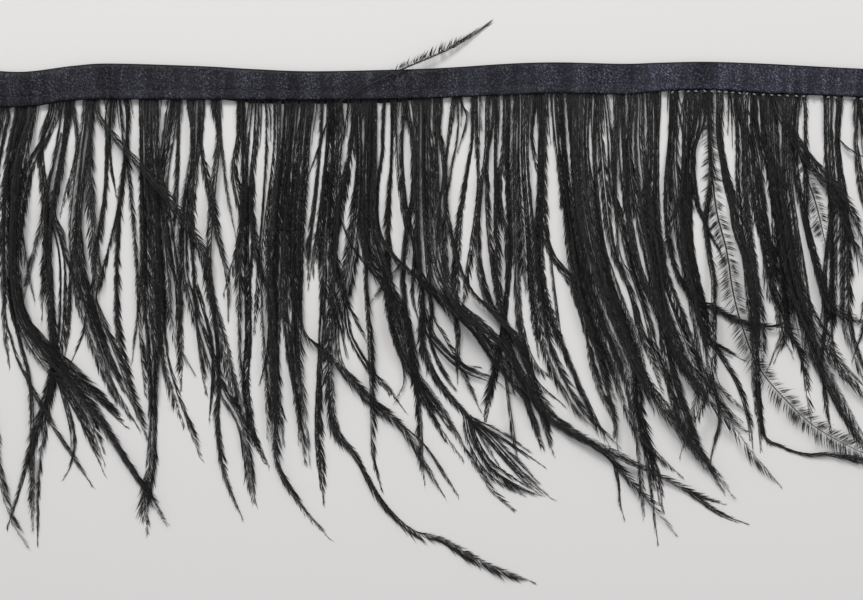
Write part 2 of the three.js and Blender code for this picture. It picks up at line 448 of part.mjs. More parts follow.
// What lies on the table so far, kept in square cells so that neighbours are found quickly.
const laid = new Map();
const cellOf = (p) => [Math.floor(p.x / cell), Math.floor(p.y / cell)];
function layDown(samples, owner) {
  samples.forEach((sample) => {
    const key = cellOf(sample.place).join();
    laid.set(key, [...(laid.get(key) ?? []), { ...sample, owner }]);
  });
}
function highestUnder(sample, owner) {
  const [cx, cy] = cellOf(sample.place);
  let highest = -Infinity;
  for (let i = cx - 1; i <= cx + 1; i += 1) {
    for (let j = cy - 1; j <= cy + 1; j += 1) {
      (laid.get(`${i},${j}`) ?? []).filter((other) => other.owner !== owner).forEach((other) => {
        const apart = Math.hypot(sample.place.x - other.place.x, sample.place.y - other.place.y);
        if (apart < sample.half + other.half + gap + sampleStep / 4) {
          highest = Math.max(highest, other.place.z);
        }
      });
    }
  }
  return highest;
}

// A strand lies on the table, or climbs over the strands that already lie where it passes.
function drape(line, owner) {
  const { plan, held } = line;
  for (const { k, u, place, half } of samplesOf(line)) {
    const under = highestUnder({ place, half }, owner);
    const now = THREE.MathUtils.lerp(plan[k].z, plan[k + 1].z, u);
    const lift = under + barbLayer + gap - now;
    if (lift > 0 && k + 1 >= held) {
      const firstFree = k < held;
      plan[k + 1].z += firstFree ? lift / Math.max(u, 0.5) : lift;
      plan[k].z += firstFree ? 0 : lift;
    }
  }
}

// A strand is flat below and has its ridge over the route.
function strandSolid({ plan, widths }) {
  const rings = plan.map((p, i) => {
    if (i === plan.length - 1) {
      return [p];
    }
    const along = plan[i + 1].clone().sub(plan[Math.max(0, i - 1)]).setZ(0).normalize();
    const across = new THREE.Vector3(-along.y, along.x, 0).multiplyScalar(widths[i] / 2);
    const up = new THREE.Vector3(0, 0, barbLayer / 2);
    return [[1, -1], [-1, -1], [0, 1]].map(([side, rise]) => (
      p.clone().addScaledVector(across, side).addScaledVector(up, rise)));
  });
  const { points, faces } = loft(rings);
  faces.push([0, 2, 1]);
  return solidOf(geometryOf(points, faces));
}

function layLock(lock, owner) {
  const sewn = lock.filter(startsInFold);
  const rootX = sewn.reduce((sum, { route }) => sum + route[0][0], 0) / sewn.length;
  const lines = lock.map((line) => {
    const stations = stationsOf(line, rootX);
    if (!startsInFold(line)) {
      stations.plan[0].z = heightOnLock(owner, stations.plan[0]);
    }
    drape(stations, owner);
    layDown(samplesOf(stations), owner);
    return strandSolid(stations);
  });
  return lines.reduce((whole, solid) => whole.add(solid));
}

// Height of the nearest point of a lock that is already laid, where another strand forks off.
function heightOnLock(owner, place) {
  let best = Infinity;
  let height = tableZ;
  for (const samples of laid.values()) {
    for (const sample of samples) {
      const apart = Math.hypot(sample.place.x - place.x, sample.place.y - place.y);
      if (sample.owner === owner && apart < best) {
        best = apart;
        height = sample.place.z;
      }
    }
  }
  return height;
}

function strayGeometry() {
  const plan = strayRoute.map((p) => new THREE.Vector3(...p));
  const widths = plan.map((_, i) => strayWidth * fullness(i / plan.length));
  const stray = { plan, widths, held: 0 };
  drape(stray, locks.length);
  return geometryOfSolid(strandSolid(stray));
}

// ---------------------------------------------------------------- materials and nodes
const finish = (color, roughness) => new THREE.MeshStandardMaterial({ color, roughness, metalness: 0 });
const group = new THREE.Group();

function addNode(name, geometry, material) {
  const mesh = new THREE.Mesh(geometry, material);
  mesh.name = name;
  group.add(mesh);
}

addNode('satin_ribbon', ribbonGeometry(), finish(0x24242c, 0.42));
addNode('sewing_thread', threadGeometry(), finish(0x1a1a20, 0.6));

const order = locks.map((_, i) => i).sort((a, b) => sweepOf(locks[a]) - sweepOf(locks[b]));
const solids = [];
order.forEach((i) => {
  solids[i] = layLock(locks[i], i);
});
solids.forEach((solid, i) => {
  addNode(`feather_lock_${String(i + 1).padStart(2, '0')}`, geometryOfSolid(solid), finish(0x17171a, 0.55));
});
addNode('stray_barb', strayGeometry(), finish(0x17171a, 0.55));

export default group;
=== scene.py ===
import math
import bmesh
import bpy
import numpy as np
from mathutils import Euler, Matrix, Vector, noise


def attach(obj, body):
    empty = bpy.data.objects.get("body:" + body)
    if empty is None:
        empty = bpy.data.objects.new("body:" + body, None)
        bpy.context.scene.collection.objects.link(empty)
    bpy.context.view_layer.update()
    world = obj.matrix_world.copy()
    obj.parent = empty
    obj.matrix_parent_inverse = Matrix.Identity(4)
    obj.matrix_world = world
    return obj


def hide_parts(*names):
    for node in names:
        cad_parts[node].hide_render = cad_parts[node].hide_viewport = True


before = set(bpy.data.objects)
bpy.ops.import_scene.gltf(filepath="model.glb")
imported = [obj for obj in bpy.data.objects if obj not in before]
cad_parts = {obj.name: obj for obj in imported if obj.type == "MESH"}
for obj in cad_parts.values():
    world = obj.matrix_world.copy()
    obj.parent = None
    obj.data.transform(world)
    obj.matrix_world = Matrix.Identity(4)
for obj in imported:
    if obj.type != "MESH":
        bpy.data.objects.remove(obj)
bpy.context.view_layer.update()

mm = 0.001
randomSeed = 41
anyPhase = 6.28     # a whole turn in radians

# The trim: a satin ribbon folded over the roots of black ostrich barbs, laid flat with the barbs towards -Y.
# Places and sizes are in mm, apart from the stage.

# Edges of the ribbon: x, upper edge, lower edge
ribbonEdge = np.array([
    (-160, 5.2, -7.6), (-143, 4.1, -8.2), (-125, 6.2, -5.8), (-112, 7, -5.5), (-81, 6.1, -5.6),
    (-63, 5.1, -5.6), (-42, 4.3, -5.7), (-11, 4.9, -5.3), (6.5, 5.6, -4.8), (28, 7, -3.9),
    (45, 7.4, -3.3), (67, 6.9, -3.7), (80, 7.3, -2.6), (96, 7.6, -2), (115, 7, -3.2), (136, 5.9, -4),
    (160, 4.7, -5.2)])

# One list for each lock, from the left end of the ribbon: each strand's width, then the points it passes
lockStrands = [
    [(2.4, (-157, -8), (-159, -25), (-160.5, -50), (-160, -80), (-157.5, -105), (-148, -146),
      (-140.5, -162)),
     (1.6, (-154, -8), (-156, -25), (-158, -50), (-156, -80), (-153, -102))],
    [(1.2, (-150, -8), (-152, -20), (-158, -40)),
     (1.5, (-147.8, -8), (-149, -16), (-151, -25), (-154, -45), (-155, -80))],
    [(3, (-144.4, -8), (-147.5, -25), (-149.5, -45), (-149.5, -68), (-149, -85), (-147.5, -99.5)),
     (3.6, (-142.8, -8), (-145.5, -25), (-147, -45), (-147, -65), (-145, -78), (-139, -90), (-130, -102.5),
      (-121, -117.5), (-113, -136.5)),
     (1.4, (-147, -64), (-147, -78), (-144, -90), (-140.5, -103), (-139.4, -118), (-139.7, -156.5)),
     (1, (-149, -82), (-145.5, -95), (-141, -104), (-133, -119), (-118.5, -141)),
     (1.5, (-131, -101), (-125.5, -121), (-126, -132), (-128.7, -138)),
     (2.2, (-130.5, -101.5), (-127, -108), (-122.5, -117), (-118.5, -126), (-115.5, -133))],
    [(2, (-139.6, -8), (-143.5, -28), (-145.3, -50), (-145.3, -68), (-142.5, -82), (-135, -93),
      (-121, -109.5), (-107, -131), (-92, -154.5)),
     (1.8, (-139, -8), (-142.5, -30), (-144, -55), (-143, -76), (-137.5, -87), (-124, -102),
      (-107, -120.5)),
     (0.9, (-143.4, -40), (-142.5, -52), (-140.5, -66), (-138.8, -76))],
    [(1.6, (-131.6, -7), (-134, -16), (-138.5, -25), (-142, -34), (-146, -60)),
     (1.4, (-133, -7.5), (-136.2, -22), (-134.5, -40), (-133.6, -54), (-136, -72), (-136.5, -83))],
    [(2.3, (-128, -6), (-129.5, -18), (-132.2, -35), (-133.5, -50), (-133, -72), (-131.7, -97),
      (-133.5, -113), (-136.3, -135), (-137.3, -162)),
     (1.8, (-126, -6), (-127.6, -18), (-130, -32), (-132.3, -44), (-130, -52), (-126, -65), (-120, -80)),
     (0.9, (-129.4, -17), (-135, -42), (-142.5, -76)),
     (1.8, (-132.8, -45), (-129.3, -60), (-129, -76), (-130.5, -93), (-139, -124), (-144, -140),
      (-149, -155.5)),
     (0.9, (-124.8, -6), (-124.2, -15), (-124.4, -24), (-130, -46))],
    [(4.2, (-120, -6), (-120.3, -15), (-122, -30), (-124, -52), (-122.5, -70), (-118.5, -85),
      (-112.5, -102), (-102, -121.5)),
     (1.4, (-118.8, -6), (-119.3, -30), (-118, -50), (-116.2, -66), (-117.5, -77), (-108.5, -102),
      (-99.7, -125)),
     (1.4, (-123.6, -50), (-125.6, -64), (-126.6, -78), (-127, -88), (-128.4, -96)),
     (0.9, (-120.3, -79), (-122, -88), (-126.7, -99))],
    [(2, (-116.6, -6), (-115, -12.5), (-106, -23.5), (-95, -36.5), (-85, -49.5), (-79, -61), (-77.3, -72),
      (-75.5, -92))],
    [(1.6, (-112.6, -6), (-113.2, -20), (-114, -36), (-116.3, -52), (-118.5, -72)),
     (0.8, (-111.9, -6), (-112.4, -27), (-110.4, -40)),
     (0.8, (-108.9, -6), (-108.2, -17), (-107.5, -30)),
     (1.5, (-106.7, -6), (-106.5, -18), (-108.8, -38), (-110.2, -58), (-110.4, -86), (-104, -112)),
     (1, (-106.4, -6), (-106.6, -22), (-105.5, -38), (-103.3, -60), (-102.3, -82), (-100.3, -109)),
     (0.8, (-108.9, -39), (-112, -53), (-117.8, -76))],
    [(2.8, (-101.2, -6), (-101, -22), (-100.5, -48), (-100, -74), (-98.3, -92), (-97.4, -112), (-98, -131),
      (-100.2, -147), (-98.8, -157.5)),
     (0.9, (-100.4, -56), (-102.5, -78), (-104.7, -97.5))],
    [(3.6, (-98, -6), (-97.8, -22), (-96.8, -48), (-95.4, -74), (-95, -92), (-97.5, -118)),
     (2.3, (-96.4, -6), (-96, -22), (-93.8, -48), (-91.8, -72), (-90, -88), (-83, -102.5)),
     (1.4, (-96.9, -34), (-94.8, -60), (-94, -88), (-91, -105), (-81.5, -131.5))],
    [(1.5, (-91.6, -6), (-93, -17), (-96, -38)),
     (1.8, (-89.3, -6), (-91, -20), (-92.9, -36), (-90.5, -55), (-88, -75), (-88, -107.5)),
     (1.2, (-88.4, -6), (-89, -25), (-89.7, -40), (-90.6, -54))],
    [(1.3, (-84.8, -6), (-83.6, -16), (-84, -26), (-87, -44), (-88.7, -62), (-88, -88)),
     (1.8, (-85.4, -35), (-86, -60), (-84.5, -72), (-74.5, -104), (-66.5, -120), (-61.7, -147))],
    [(1.8, (-81.9, -6), (-82.2, -20), (-83.2, -45), (-82.3, -68), (-80, -92), (-78, -108.5)),
     (1.3, (-80.9, -6), (-81, -22), (-78, -38), (-75.3, -54), (-72, -69), (-71.5, -83)),
     (1.2, (-82.2, -70), (-77.5, -88), (-76.5, -100), (-77.5, -118))],
    [(1.7, (-75.3, -6), (-74, -18), (-75.5, -35), (-77.2, -55), (-77.2, -70), (-72.5, -90), (-65, -120)),
     (0.8, (-74.3, -6), (-73.3, -20), (-71.3, -38), (-68.3, -54)),
     (1.4, (-76.9, -72), (-74.5, -100), (-75, -118), (-73, -135), (-66, -152.5))],
    [(1.4, (-67.4, -6), (-67.6, -18), (-69.3, -30), (-66.8, -44), (-66, -53)),
     (0.9, (-66.3, -6), (-65.8, -30), (-67.5, -53), (-73, -74)),
     (1.2, (-65.9, -6), (-65.5, -35), (-66.5, -60), (-67, -85), (-65.5, -113))],
    [(0.8, (-62.6, -6), (-64, -22), (-64.7, -40), (-64.5, -55)),
     (1.7, (-61.2, -6), (-61.8, -18), (-63.8, -40), (-61.5, -61), (-56, -77)),
     (2.6, (-63.4, -36), (-63.8, -65), (-63.5, -88), (-64.4, -104), (-62.5, -121), (-57, -134.5)),
     (0.9, (-57.9, -7), (-57.8, -22), (-59.2, -44), (-61, -66), (-62.5, -88))],
    [(3.2, (-53.8, -8), (-54, -22), (-56.2, -46), (-57, -66), (-56.2, -88), (-55.5, -112), (-55.3, -132),
      (-47, -147), (-36, -160.3)),
     (0.8, (-56.5, -82), (-57.5, -95), (-60, -105))],
    [(3.6, (-50, -8), (-51, -22), (-53, -42), (-53.7, -64), (-54.1, -88), (-54, -112), (-53, -126.5)),
     (3.4, (-47, -8), (-48.2, -22), (-50, -48), (-50.5, -72), (-48.8, -94), (-46, -115), (-46, -126))],
    [(2.8, (-43.6, -8), (-44.8, -22), (-46.7, -44), (-47, -70), (-47, -95), (-43.2, -133.5)),
     (1.8, (-41.6, -8), (-43, -19), (-44.8, -44), (-45, -68), (-44.6, -85), (-38, -92.5), (-29, -101.5),
      (-21, -110.5), (-9.5, -120.5), (-2.5, -131), (5.4, -144.5)),
     (1, (-14, -116.6), (-5, -123.5), (0.5, -130), (9.3, -144))],
    [(3, (-36.9, -8), (-37.2, -20), (-39, -42), (-41.5, -60), (-43, -72)),
     (3.2, (-34.6, -8), (-34.6, -22), (-36.3, -44), (-37.5, -64), (-36.3, -88)),
     (0.8, (-37, -15), (-40.5, -25), (-43.8, -34)),
     (2.8, (-37.4, -69), (-34.4, -77), (-32.3, -84), (-31.6, -91), (-29.5, -98), (-26, -103)),
     (1.6, (-37.4, -66), (-39.5, -95), (-40.5, -120), (-38.2, -147.5))],
    [(1.6, (-31.6, -8), (-32.3, -30), (-33.5, -60), (-35.5, -85), (-35.7, -105), (-33.5, -121),
      (-26.8, -130), (-18, -145.6), (-7.5, -156.5), (4, -160.5), (20, -169.5), (36.2, -175.4))],
    [(1.5, (-27.2, -7), (-28, -21), (-30.7, -38), (-33.8, -57), (-31.5, -69.5), (-27, -82),
      (-21.5, -92.5)),
     (1.4, (-26, -7), (-25.3, -30), (-26.6, -50), (-28.6, -65), (-32, -80), (-36, -98.5)),
     (1.2, (-30.5, -72), (-29.8, -80), (-28.6, -87), (-25.6, -93), (-21, -100), (-15.5, -106), (-9, -115)),
     (0.8, (-32.2, -46), (-27.5, -57.5), (-16, -72))],
    [(3.2, (-22.6, -7), (-23.1, -25), (-23.2, -48), (-20.5, -62), (-14.5, -71.5), (-9.5, -80.5),
      (-6.5, -92), (-4.5, -106), (2, -120), (10.5, -132.5)),
     (1.3, (-21.6, -7), (-22, -40), (-22.8, -66), (-21.6, -90), (-21, -112), (-20.4, -130), (-17, -142.8)),
     (2.6, (-20.2, -7), (-20.3, -25), (-20.3, -50), (-16.5, -64), (-13.7, -74), (-12.7, -86),
      (-8.5, -97.5), (-1.5, -108), (7.5, -121), (20, -141), (29.2, -150))],
    [(1.2, (-16.6, -8), (-17.3, -23), (-18.9, -38), (-18.2, -51), (-13.5, -59.5), (-6, -67), (2, -73.5),
      (11, -80.5), (19, -88.5), (25, -98), (27.8, -116), (30, -130.5)),
     (1.2, (-13.8, -7), (-13.9, -24), (-14.9, -46), (-15, -66), (-15, -80), (-9.9, -101), (-12.8, -111)),
     (0.9, (-12.9, -7), (-12, -24), (-10.4, -42), (-8, -57), (-12.5, -66), (-21.4, -77))],
    [(1.4, (-9.5, -7), (-10.2, -24), (-9, -41), (-6.2, -54), (-3.4, -67), (3.5, -75.5), (9, -84),
      (10, -97), (17.5, -99.3)),
     (1.2, (-8.5, -7), (-6, -23), (-6.1, -37), (-9, -53), (-10.2, -67), (-8.8, -82), (-4.7, -112),
      (-3.7, -130), (-2.5, -140.5))],
    [(2.1, (-4.4, -5.5), (-4.4, -22), (-4.6, -46), (-4, -64), (-3, -78), (-3.4, -90), (0.5, -101),
      (7, -110), (14, -118), (24, -134.8)),
     (0.8, (-4.7, -50), (-6.3, -66), (-6.2, -75), (-4, -84)),
     (1.6, (-3, -79), (-0.8, -87), (3.5, -92.6), (8.5, -97.5), (13, -100.5), (21, -103.8), (27, -108.5)),
     (1.6, (12.4, -116), (14.5, -124), (19, -132.5), (25, -138), (32, -142), (39, -144.3)),
     (1.4, (13.5, -117.4), (20, -123.5), (27, -131.5), (34, -139), (42, -145.8)),
     (1.2, (13, -116.8), (20, -120.5), (26, -124.5), (31, -128.5), (39.8, -134.5))],
    [(2.4, (-1.5, -5.5), (-1.6, -22), (-1.3, -46), (0, -62), (5, -75), (15, -84), (24, -94.5),
      (36, -109.5), (40.5, -116), (48, -121.5), (58, -127.5), (64, -133), (71, -141), (78, -149),
      (86, -158.5)),
     (2.2, (3.6, -71.5), (8.5, -79.8), (15, -87.5), (20.5, -95.5), (27, -103.5), (33.5, -112),
      (39.4, -127)),
     (1.2, (64, -133), (65.5, -140), (66.2, -146), (67.8, -152.5)),
     (0.9, (-0.2, -60), (-0.5, -78), (5, -89.5), (9.5, -97.5), (12, -104), (17.5, -115))],
    [(2.2, (1.4, -5.5), (1.3, -22), (2, -44), (3.7, -62), (9, -77), (18, -85), (27, -94.5), (38, -112.5),
      (46, -120), (56, -125.5), (66, -130.5), (80, -137), (93, -144), (103.3, -147)),
     (1.5, (89, -141.8), (95, -146.5), (102, -151.2), (111, -154.5)),
     (1.2, (2.9, -5.5), (2.4, -15), (4, -28), (4.6, -43), (8, -59.5), (13, -71.5), (22, -81.5), (29, -90),
      (36, -108), (42.5, -130))],
    [(0.8, (7.6, -5), (6, -18.5), (4.2, -31), (2.4, -46), (1.6, -62)),
     (1, (9.2, -5), (9.1, -18), (6.9, -31), (5.1, -44), (5.4, -60), (6.2, -74)),
     (0.8, (10.3, -5), (12.2, -12), (9, -24))],
    [(1.2, (14.5, -5), (14.1, -20), (12, -34), (9.8, -50), (9.1, -66), (8.8, -84), (9, -105)),
     (1.1, (15.7, -5), (15.9, -26), (16, -37), (13.7, -55), (12, -67), (10.8, -80))],
    [(1.2, (19.4, -4.5), (19.2, -22), (17.4, -36), (16.2, -48), (16.6, -63), (20, -77), (27, -87.5),
      (34.5, -104)),
     (1.1, (21.6, -4.5), (21.1, -16), (19.7, -26), (19.6, -46), (21.5, -65), (24.6, -82), (28.5, -108)),
     (1.2, (22.6, -4.5), (22.3, -28), (22.6, -54), (23.8, -75), (29, -96), (34.5, -115), (38.5, -127.5))],
    [(1.2, (25.7, -4.5), (25.3, -24), (23.6, -39), (26.5, -57), (25, -76)),
     (1.4, (27, -4.5), (26.7, -30), (27.8, -58), (26, -79), (23.6, -94), (18.5, -118.5))],
    [(1.5, (29.4, -4.5), (29, -28), (29.7, -58), (31.2, -82), (36, -97.5), (44.5, -104.5)),
     (1.6, (31, -4.5), (31, -27), (32.6, -52), (34, -74), (37.3, -96)),
     (1, (32, -87), (36.5, -103), (46.5, -112.5))],
    [(1.8, (33.4, -4.5), (33, -27), (34.8, -50), (37, -72), (40, -88), (43, -98), (52, -114), (66, -128))],
    [(0.8, (35.9, -4.5), (34.9, -20), (38, -36)),
     (1.8, (38, -4.5), (38.3, -25), (38.2, -64), (41, -79), (46, -93), (54, -111.5), (62.5, -127.5)),
     (1.5, (39.2, -4.5), (38.9, -26), (39.4, -44), (41.3, -57.5), (49.5, -69.5), (53.8, -82), (55.3, -96),
      (58.5, -107), (63.3, -117), (63.8, -124)),
     (0.8, (41.3, -57), (43.3, -73), (45.8, -90))],
    [(1.6, (42.6, -4.5), (43.5, -18), (45.4, -32), (47.8, -50), (50, -69), (53.5, -84), (61, -110),
      (63, -118), (64.5, -128)),
     (2.4, (44.6, -4.5), (45.4, -18), (47.5, -40), (50.3, -60), (55, -81), (61, -97), (66, -111),
      (71, -121.5), (76, -127.5), (82, -133.5), (87.5, -138.5)),
     (1.4, (46.8, -34), (49, -52), (52, -68), (56.5, -86), (60, -100), (62, -112))],
    [(1.6, (48, -4.5), (48.9, -22), (50.4, -46), (54.4, -66), (60.5, -84), (66.5, -99), (70, -113),
      (72.5, -128), (74.8, -151.5)),
     (3.4, (50.6, -4.5), (50.8, -22), (52.3, -44), (56.5, -65), (64, -83), (71, -97.5), (78.5, -109.5),
      (87, -120), (94.5, -131), (105.3, -145.5))],
    [(2.8, (54, -4.5), (53.7, -22), (55.5, -44), (60, -66), (67, -84), (70.5, -98), (71.8, -114),
      (75, -128), (80, -161.5)),
     (2.2, (57, -51), (61.5, -64), (66.5, -78), (71, -90), (74, -101), (77.5, -110)),
     (1.2, (71.5, -110), (76, -126), (79, -138), (80.5, -150))],
    [(1.4, (57.4, -4.5), (57, -24), (58.2, -42), (60.4, -58), (64.5, -76), (70, -92), (77.5, -115)),
     (1.2, (58.6, -4.5), (59.3, -20), (60.9, -38), (63.4, -57), (69.5, -72), (73, -85), (80.5, -108)),
     (1.3, (60.6, -4.5), (62, -20), (62.8, -35), (66.5, -50), (70.5, -66), (75, -80), (77.8, -93),
      (82.5, -106), (86.5, -121))],
    [(1, (64.8, -4), (63.9, -24), (64.1, -48), (66, -62.5), (75, -72)),
     (2.4, (66.4, -4), (66.8, -24), (69, -46), (73, -65), (79.5, -80), (87, -97), (95, -109), (104, -118),
      (112, -128.5), (122.8, -141))],
    [(1.5, (70.2, -4), (69, -22), (71.3, -41), (76, -61), (80, -77), (87, -94.5), (94, -104),
      (103, -116.5), (110, -122)),
     (2.4, (72.4, -4), (72.2, -22), (74.5, -44), (78, -63), (80.5, -80), (83.5, -99), (88.5, -116),
      (94.5, -130.5), (103, -144))],
    [(2, (76.3, -4), (76.4, -24), (76, -42), (79.4, -61), (84, -78), (90, -93), (93.4, -102), (93, -108),
      (91, -117), (87, -131)),
     (2.2, (78.4, -4), (78.6, -26), (79, -46), (82, -66), (88, -82), (94, -98), (101, -107.5),
      (111.8, -116.8)),
     (1.2, (96.5, -101.5), (100, -110), (101, -118), (99.5, -124), (98, -130), (97.5, -135))],
    [(1.6, (84, -4), (83.6, -18), (81.8, -36), (82, -52), (85, -66), (91, -75), (98, -78.5), (107, -83),
      (116, -85), (124, -85.6), (129.5, -99)),
     (0.9, (85.4, -4), (88, -20), (87.5, -36), (84, -49), (80, -64)),
     (2, (84.8, -4), (84.8, -28), (86, -48), (87.8, -62), (90.6, -76), (93, -88), (94.8, -100), (98, -108),
      (103, -114.5), (108.5, -119))],
    [(1.6, (89.6, -4), (89, -18), (88.8, -36), (89, -54), (91, -68), (94.5, -82), (96.5, -90),
      (109.3, -97.5)),
     (1.2, (92.6, -4), (92.4, -15), (90.2, -24), (89.4, -40), (90.5, -58), (95.5, -88), (102, -107)),
     (1, (96.2, -89), (101, -95), (106.5, -105), (110, -117), (111.6, -128))],
    [(1.6, (95.4, -4), (94.5, -14), (91.4, -24), (92.3, -40), (96, -50), (103, -63)),
     (1.3, (96.4, -4), (97, -18), (97.4, -34), (95.5, -46), (96.5, -58), (98, -70), (96.6, -86),
      (95.2, -99), (92, -112), (88, -127)),
     (0.9, (97.3, -4), (97.6, -24), (99.5, -44), (103, -58), (105.3, -74), (109, -88), (114.5, -99.5),
      (123, -109.5), (133.5, -119.5), (147, -127.5), (158, -132))],
    [(2.2, (100.6, -4), (100.5, -18), (102.5, -30), (104.6, -38), (106, -50), (110, -62), (112.5, -75),
      (113.6, -90), (114.2, -108), (115.5, -129)),
     (1.1, (100.5, -12), (101.8, -32), (105.5, -49)),
     (1.3, (114.1, -104), (116, -122), (121, -126.3), (130, -129.4), (142, -130), (163, -135))],
    [(2.2, (107.3, -4), (108.2, -20), (108.6, -34), (109.8, -52), (111.5, -68), (113, -84), (113.7, -98)),
     (0.8, (106.2, -4), (106.8, -12), (108, -20))],
    [(1.6, (111, -4), (111, -16), (112, -32), (114, -46), (116.5, -58), (118.5, -72), (123, -84),
      (120, -94), (117.5, -101)),
     (2.4, (114, -4), (115.3, -18), (119, -30), (121, -44), (122, -58), (123, -72), (124.5, -86),
      (129, -95.5), (133, -119.5)),
     (1.8, (111, -14), (113.4, -26), (115.2, -38), (117.5, -52), (120, -64), (122, -74), (125.5, -86)),
     (0.8, (111, -9), (114.5, -18), (118, -27))],
    [(2.8, (119, -4), (119, -18), (120, -34), (122.5, -50), (125, -64), (128.5, -76), (133.5, -87),
      (141, -97), (151, -107), (160, -116)),
     (2, (120.6, -4), (123, -14), (131, -25.5), (140, -36), (147, -48), (158, -75)),
     (1.8, (120.2, -36), (124.4, -52), (126, -66), (127, -80), (129.5, -93), (131.5, -106))],
    [(2.6, (124.2, -4), (124, -18), (124.6, -34), (127, -50), (129.5, -64), (131.5, -78), (134, -92),
      (140, -105), (148, -119), (157, -133))],
    [(1.6, (127.8, -4), (126.9, -16), (127, -30), (129.6, -44), (132.5, -57), (136.5, -71.5), (141.5, -79),
      (154, -83.5)),
     (1.1, (130.4, -4), (130.8, -20), (130.8, -38), (131.3, -52), (134.5, -66), (136.6, -76),
      (135.5, -86)),
     (0.8, (126.9, -18), (131.5, -33), (134.5, -43), (138.5, -60))],
    [(3, (138.2, -5), (138.5, -22), (139.8, -42), (140, -62), (140, -80), (141.5, -95), (153, -112)),
     (1.2, (139.8, -45), (137.5, -66), (138, -82), (136.5, -97), (137.7, -108), (140, -122.5))],
    [(2.2, (142.4, -5), (142, -22), (144, -40), (144.6, -58), (144.8, -74), (145.5, -88), (153, -108)),
     (1, (144.4, -44), (147, -55), (149, -66)),
     (0.8, (142, -19), (146, -23.2), (158, -30))],
    [(1.4, (148.2, -5), (148.2, -20), (150, -36), (153.5, -50), (155, -66), (151, -82), (146.5, -97)),
     (1, (149.6, -5), (152, -25), (156, -44), (160, -60))],
    [(2.4, (155, -5), (155.5, -26), (157.5, -50), (159, -74), (161, -98), (163, -142)),
     (1.6, (157.4, -5), (160, -30), (163, -60), (164, -92))],
]

strayRoute = [(-37.5, -17), (-34, -8.6), (-27, -3.9), (-20, 0), (-9.3, 4.9), (3, 10.2), (10, 14),
              (19.8, 20.7)]


def throughPoints(points, perSegment):
    # a smooth curve through the points, as a table of rows
    padded = np.vstack([2 * points[0] - points[1], points, 2 * points[-1] - points[-2]])
    u = np.linspace(0, 1, perSegment, endpoint=False)[:, None]
    rows = []
    for a, b, c, d in zip(padded, padded[1:], padded[2:], padded[3:]):
        square = 2 * a - 5 * b + 4 * c - d
        cube = 3 * b - a - 3 * c + d
        rows.append(0.5 * (2 * b + (c - a) * u + square * u ** 2 + cube * u ** 3))
    return np.vstack(rows + [points[-1:]])


smoothEdge = throughPoints(ribbonEdge, perSegment=16)


def upperEdge(x):
    return np.interp(x, smoothEdge[:, 0], smoothEdge[:, 1])


def lowerEdge(x):
    return np.interp(x, smoothEdge[:, 0], smoothEdge[:, 2])


def between(a, b, share):
    return a + share * (b - a)


def settle(piece, slotName, *nodes):
    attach(piece, "root")
    if nodes:
        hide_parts(*nodes)


# materials

def newMaterial(name, roughness):
    material = bpy.data.materials.new(name)
    material.use_nodes = True
    shader = material.node_tree.nodes["Principled BSDF"]
    shader.inputs["Roughness"].default_value = roughness
    return material, material.node_tree, shader


def addNode(tree, kind, **values):
    node = tree.nodes.new(kind)
    for key, value in values.items():
        if key in node.inputs:
            node.inputs[key].default_value = value
        else:
            setattr(node, key, value)
    return node


def noiseAt(tree, size, turn=0.0, detail=1.0):
    # noise on object coordinates whose patches have this size, turned about Z by degrees
    coords = tree.nodes.new("ShaderNodeTexCoord")
    mapping = addNode(tree, "ShaderNodeMapping", vector_type="TEXTURE")
    mapping.inputs["Scale"].default_value = Vector(size) * mm
    mapping.inputs["Rotation"].default_value = (0, 0, math.radians(turn))
    pattern = addNode(tree, "ShaderNodeTexNoise", Scale=1.0, Detail=detail)
    tree.links.new(coords.outputs["Object"], mapping.inputs["Vector"])
    tree.links.new(mapping.outputs["Vector"], pattern.inputs["Vector"])
    return pattern.outputs["Fac"]


def mixColours(tree, blend, factor, a, b):
    mix = addNode(tree, "ShaderNodeMix", data_type="RGBA", blend_type=blend)
    for socket, value in (("Factor_Float", factor), ("A_Color", a), ("B_Color", b)):
        target = next(plug for plug in mix.inputs if plug.identifier == socket)
        if isinstance(value, bpy.types.NodeSocket):
            tree.links.new(value, target)
        else:
            target.default_value = value
    return next(plug for plug in mix.outputs if plug.identifier == "Result_Color")


def colourBetween(tree, factor, dark, light, low=0.3, high=0.7):
    ramp = tree.nodes.new("ShaderNodeValToRGB")
    for stop, place, colour in zip(ramp.color_ramp.elements, (low, high), (dark, light)):
        stop.position = place
        stop.color = (*colour, 1)
    tree.links.new(factor, ramp.inputs["Fac"])
    return ramp.outputs["Color"]


def greyBetween(tree, factor, dark, light, low=0.3, high=0.7):
    return colourBetween(tree, factor, (dark,) * 3, (light,) * 3, low, high)


def bumpFrom(tree, shader, height, strength, distance):
    bump = addNode(tree, "ShaderNodeBump", Strength=strength, Distance=distance * mm)
    tree.links.new(height, bump.inputs["Height"])
    tree.links.new(bump.outputs["Normal"], shader.inputs["Normal"])


def barbMaterial():
    # dyed black, a little lighter from barb to barb and along each barb
    material, tree, shader = newMaterial("blackBarb", 0.46)
    own = addNode(tree, "ShaderNodeAttribute", attribute_name="tone").outputs["Fac"]
    dyed = colourBetween(tree, own, (0.0025, 0.0025, 0.003), (0.028, 0.0275, 0.026), 0, 1)
    wearAndSheen = greyBetween(tree, noiseAt(tree, (1.1, 6, 1.1), detail=3.0), 0.7, 1.3)
    tree.links.new(mixColours(tree, "MULTIPLY", 1.0, dyed, wearAndSheen), shader.inputs["Base Color"])
    shader.inputs["Specular IOR Level"].default_value = 0.4
    return material


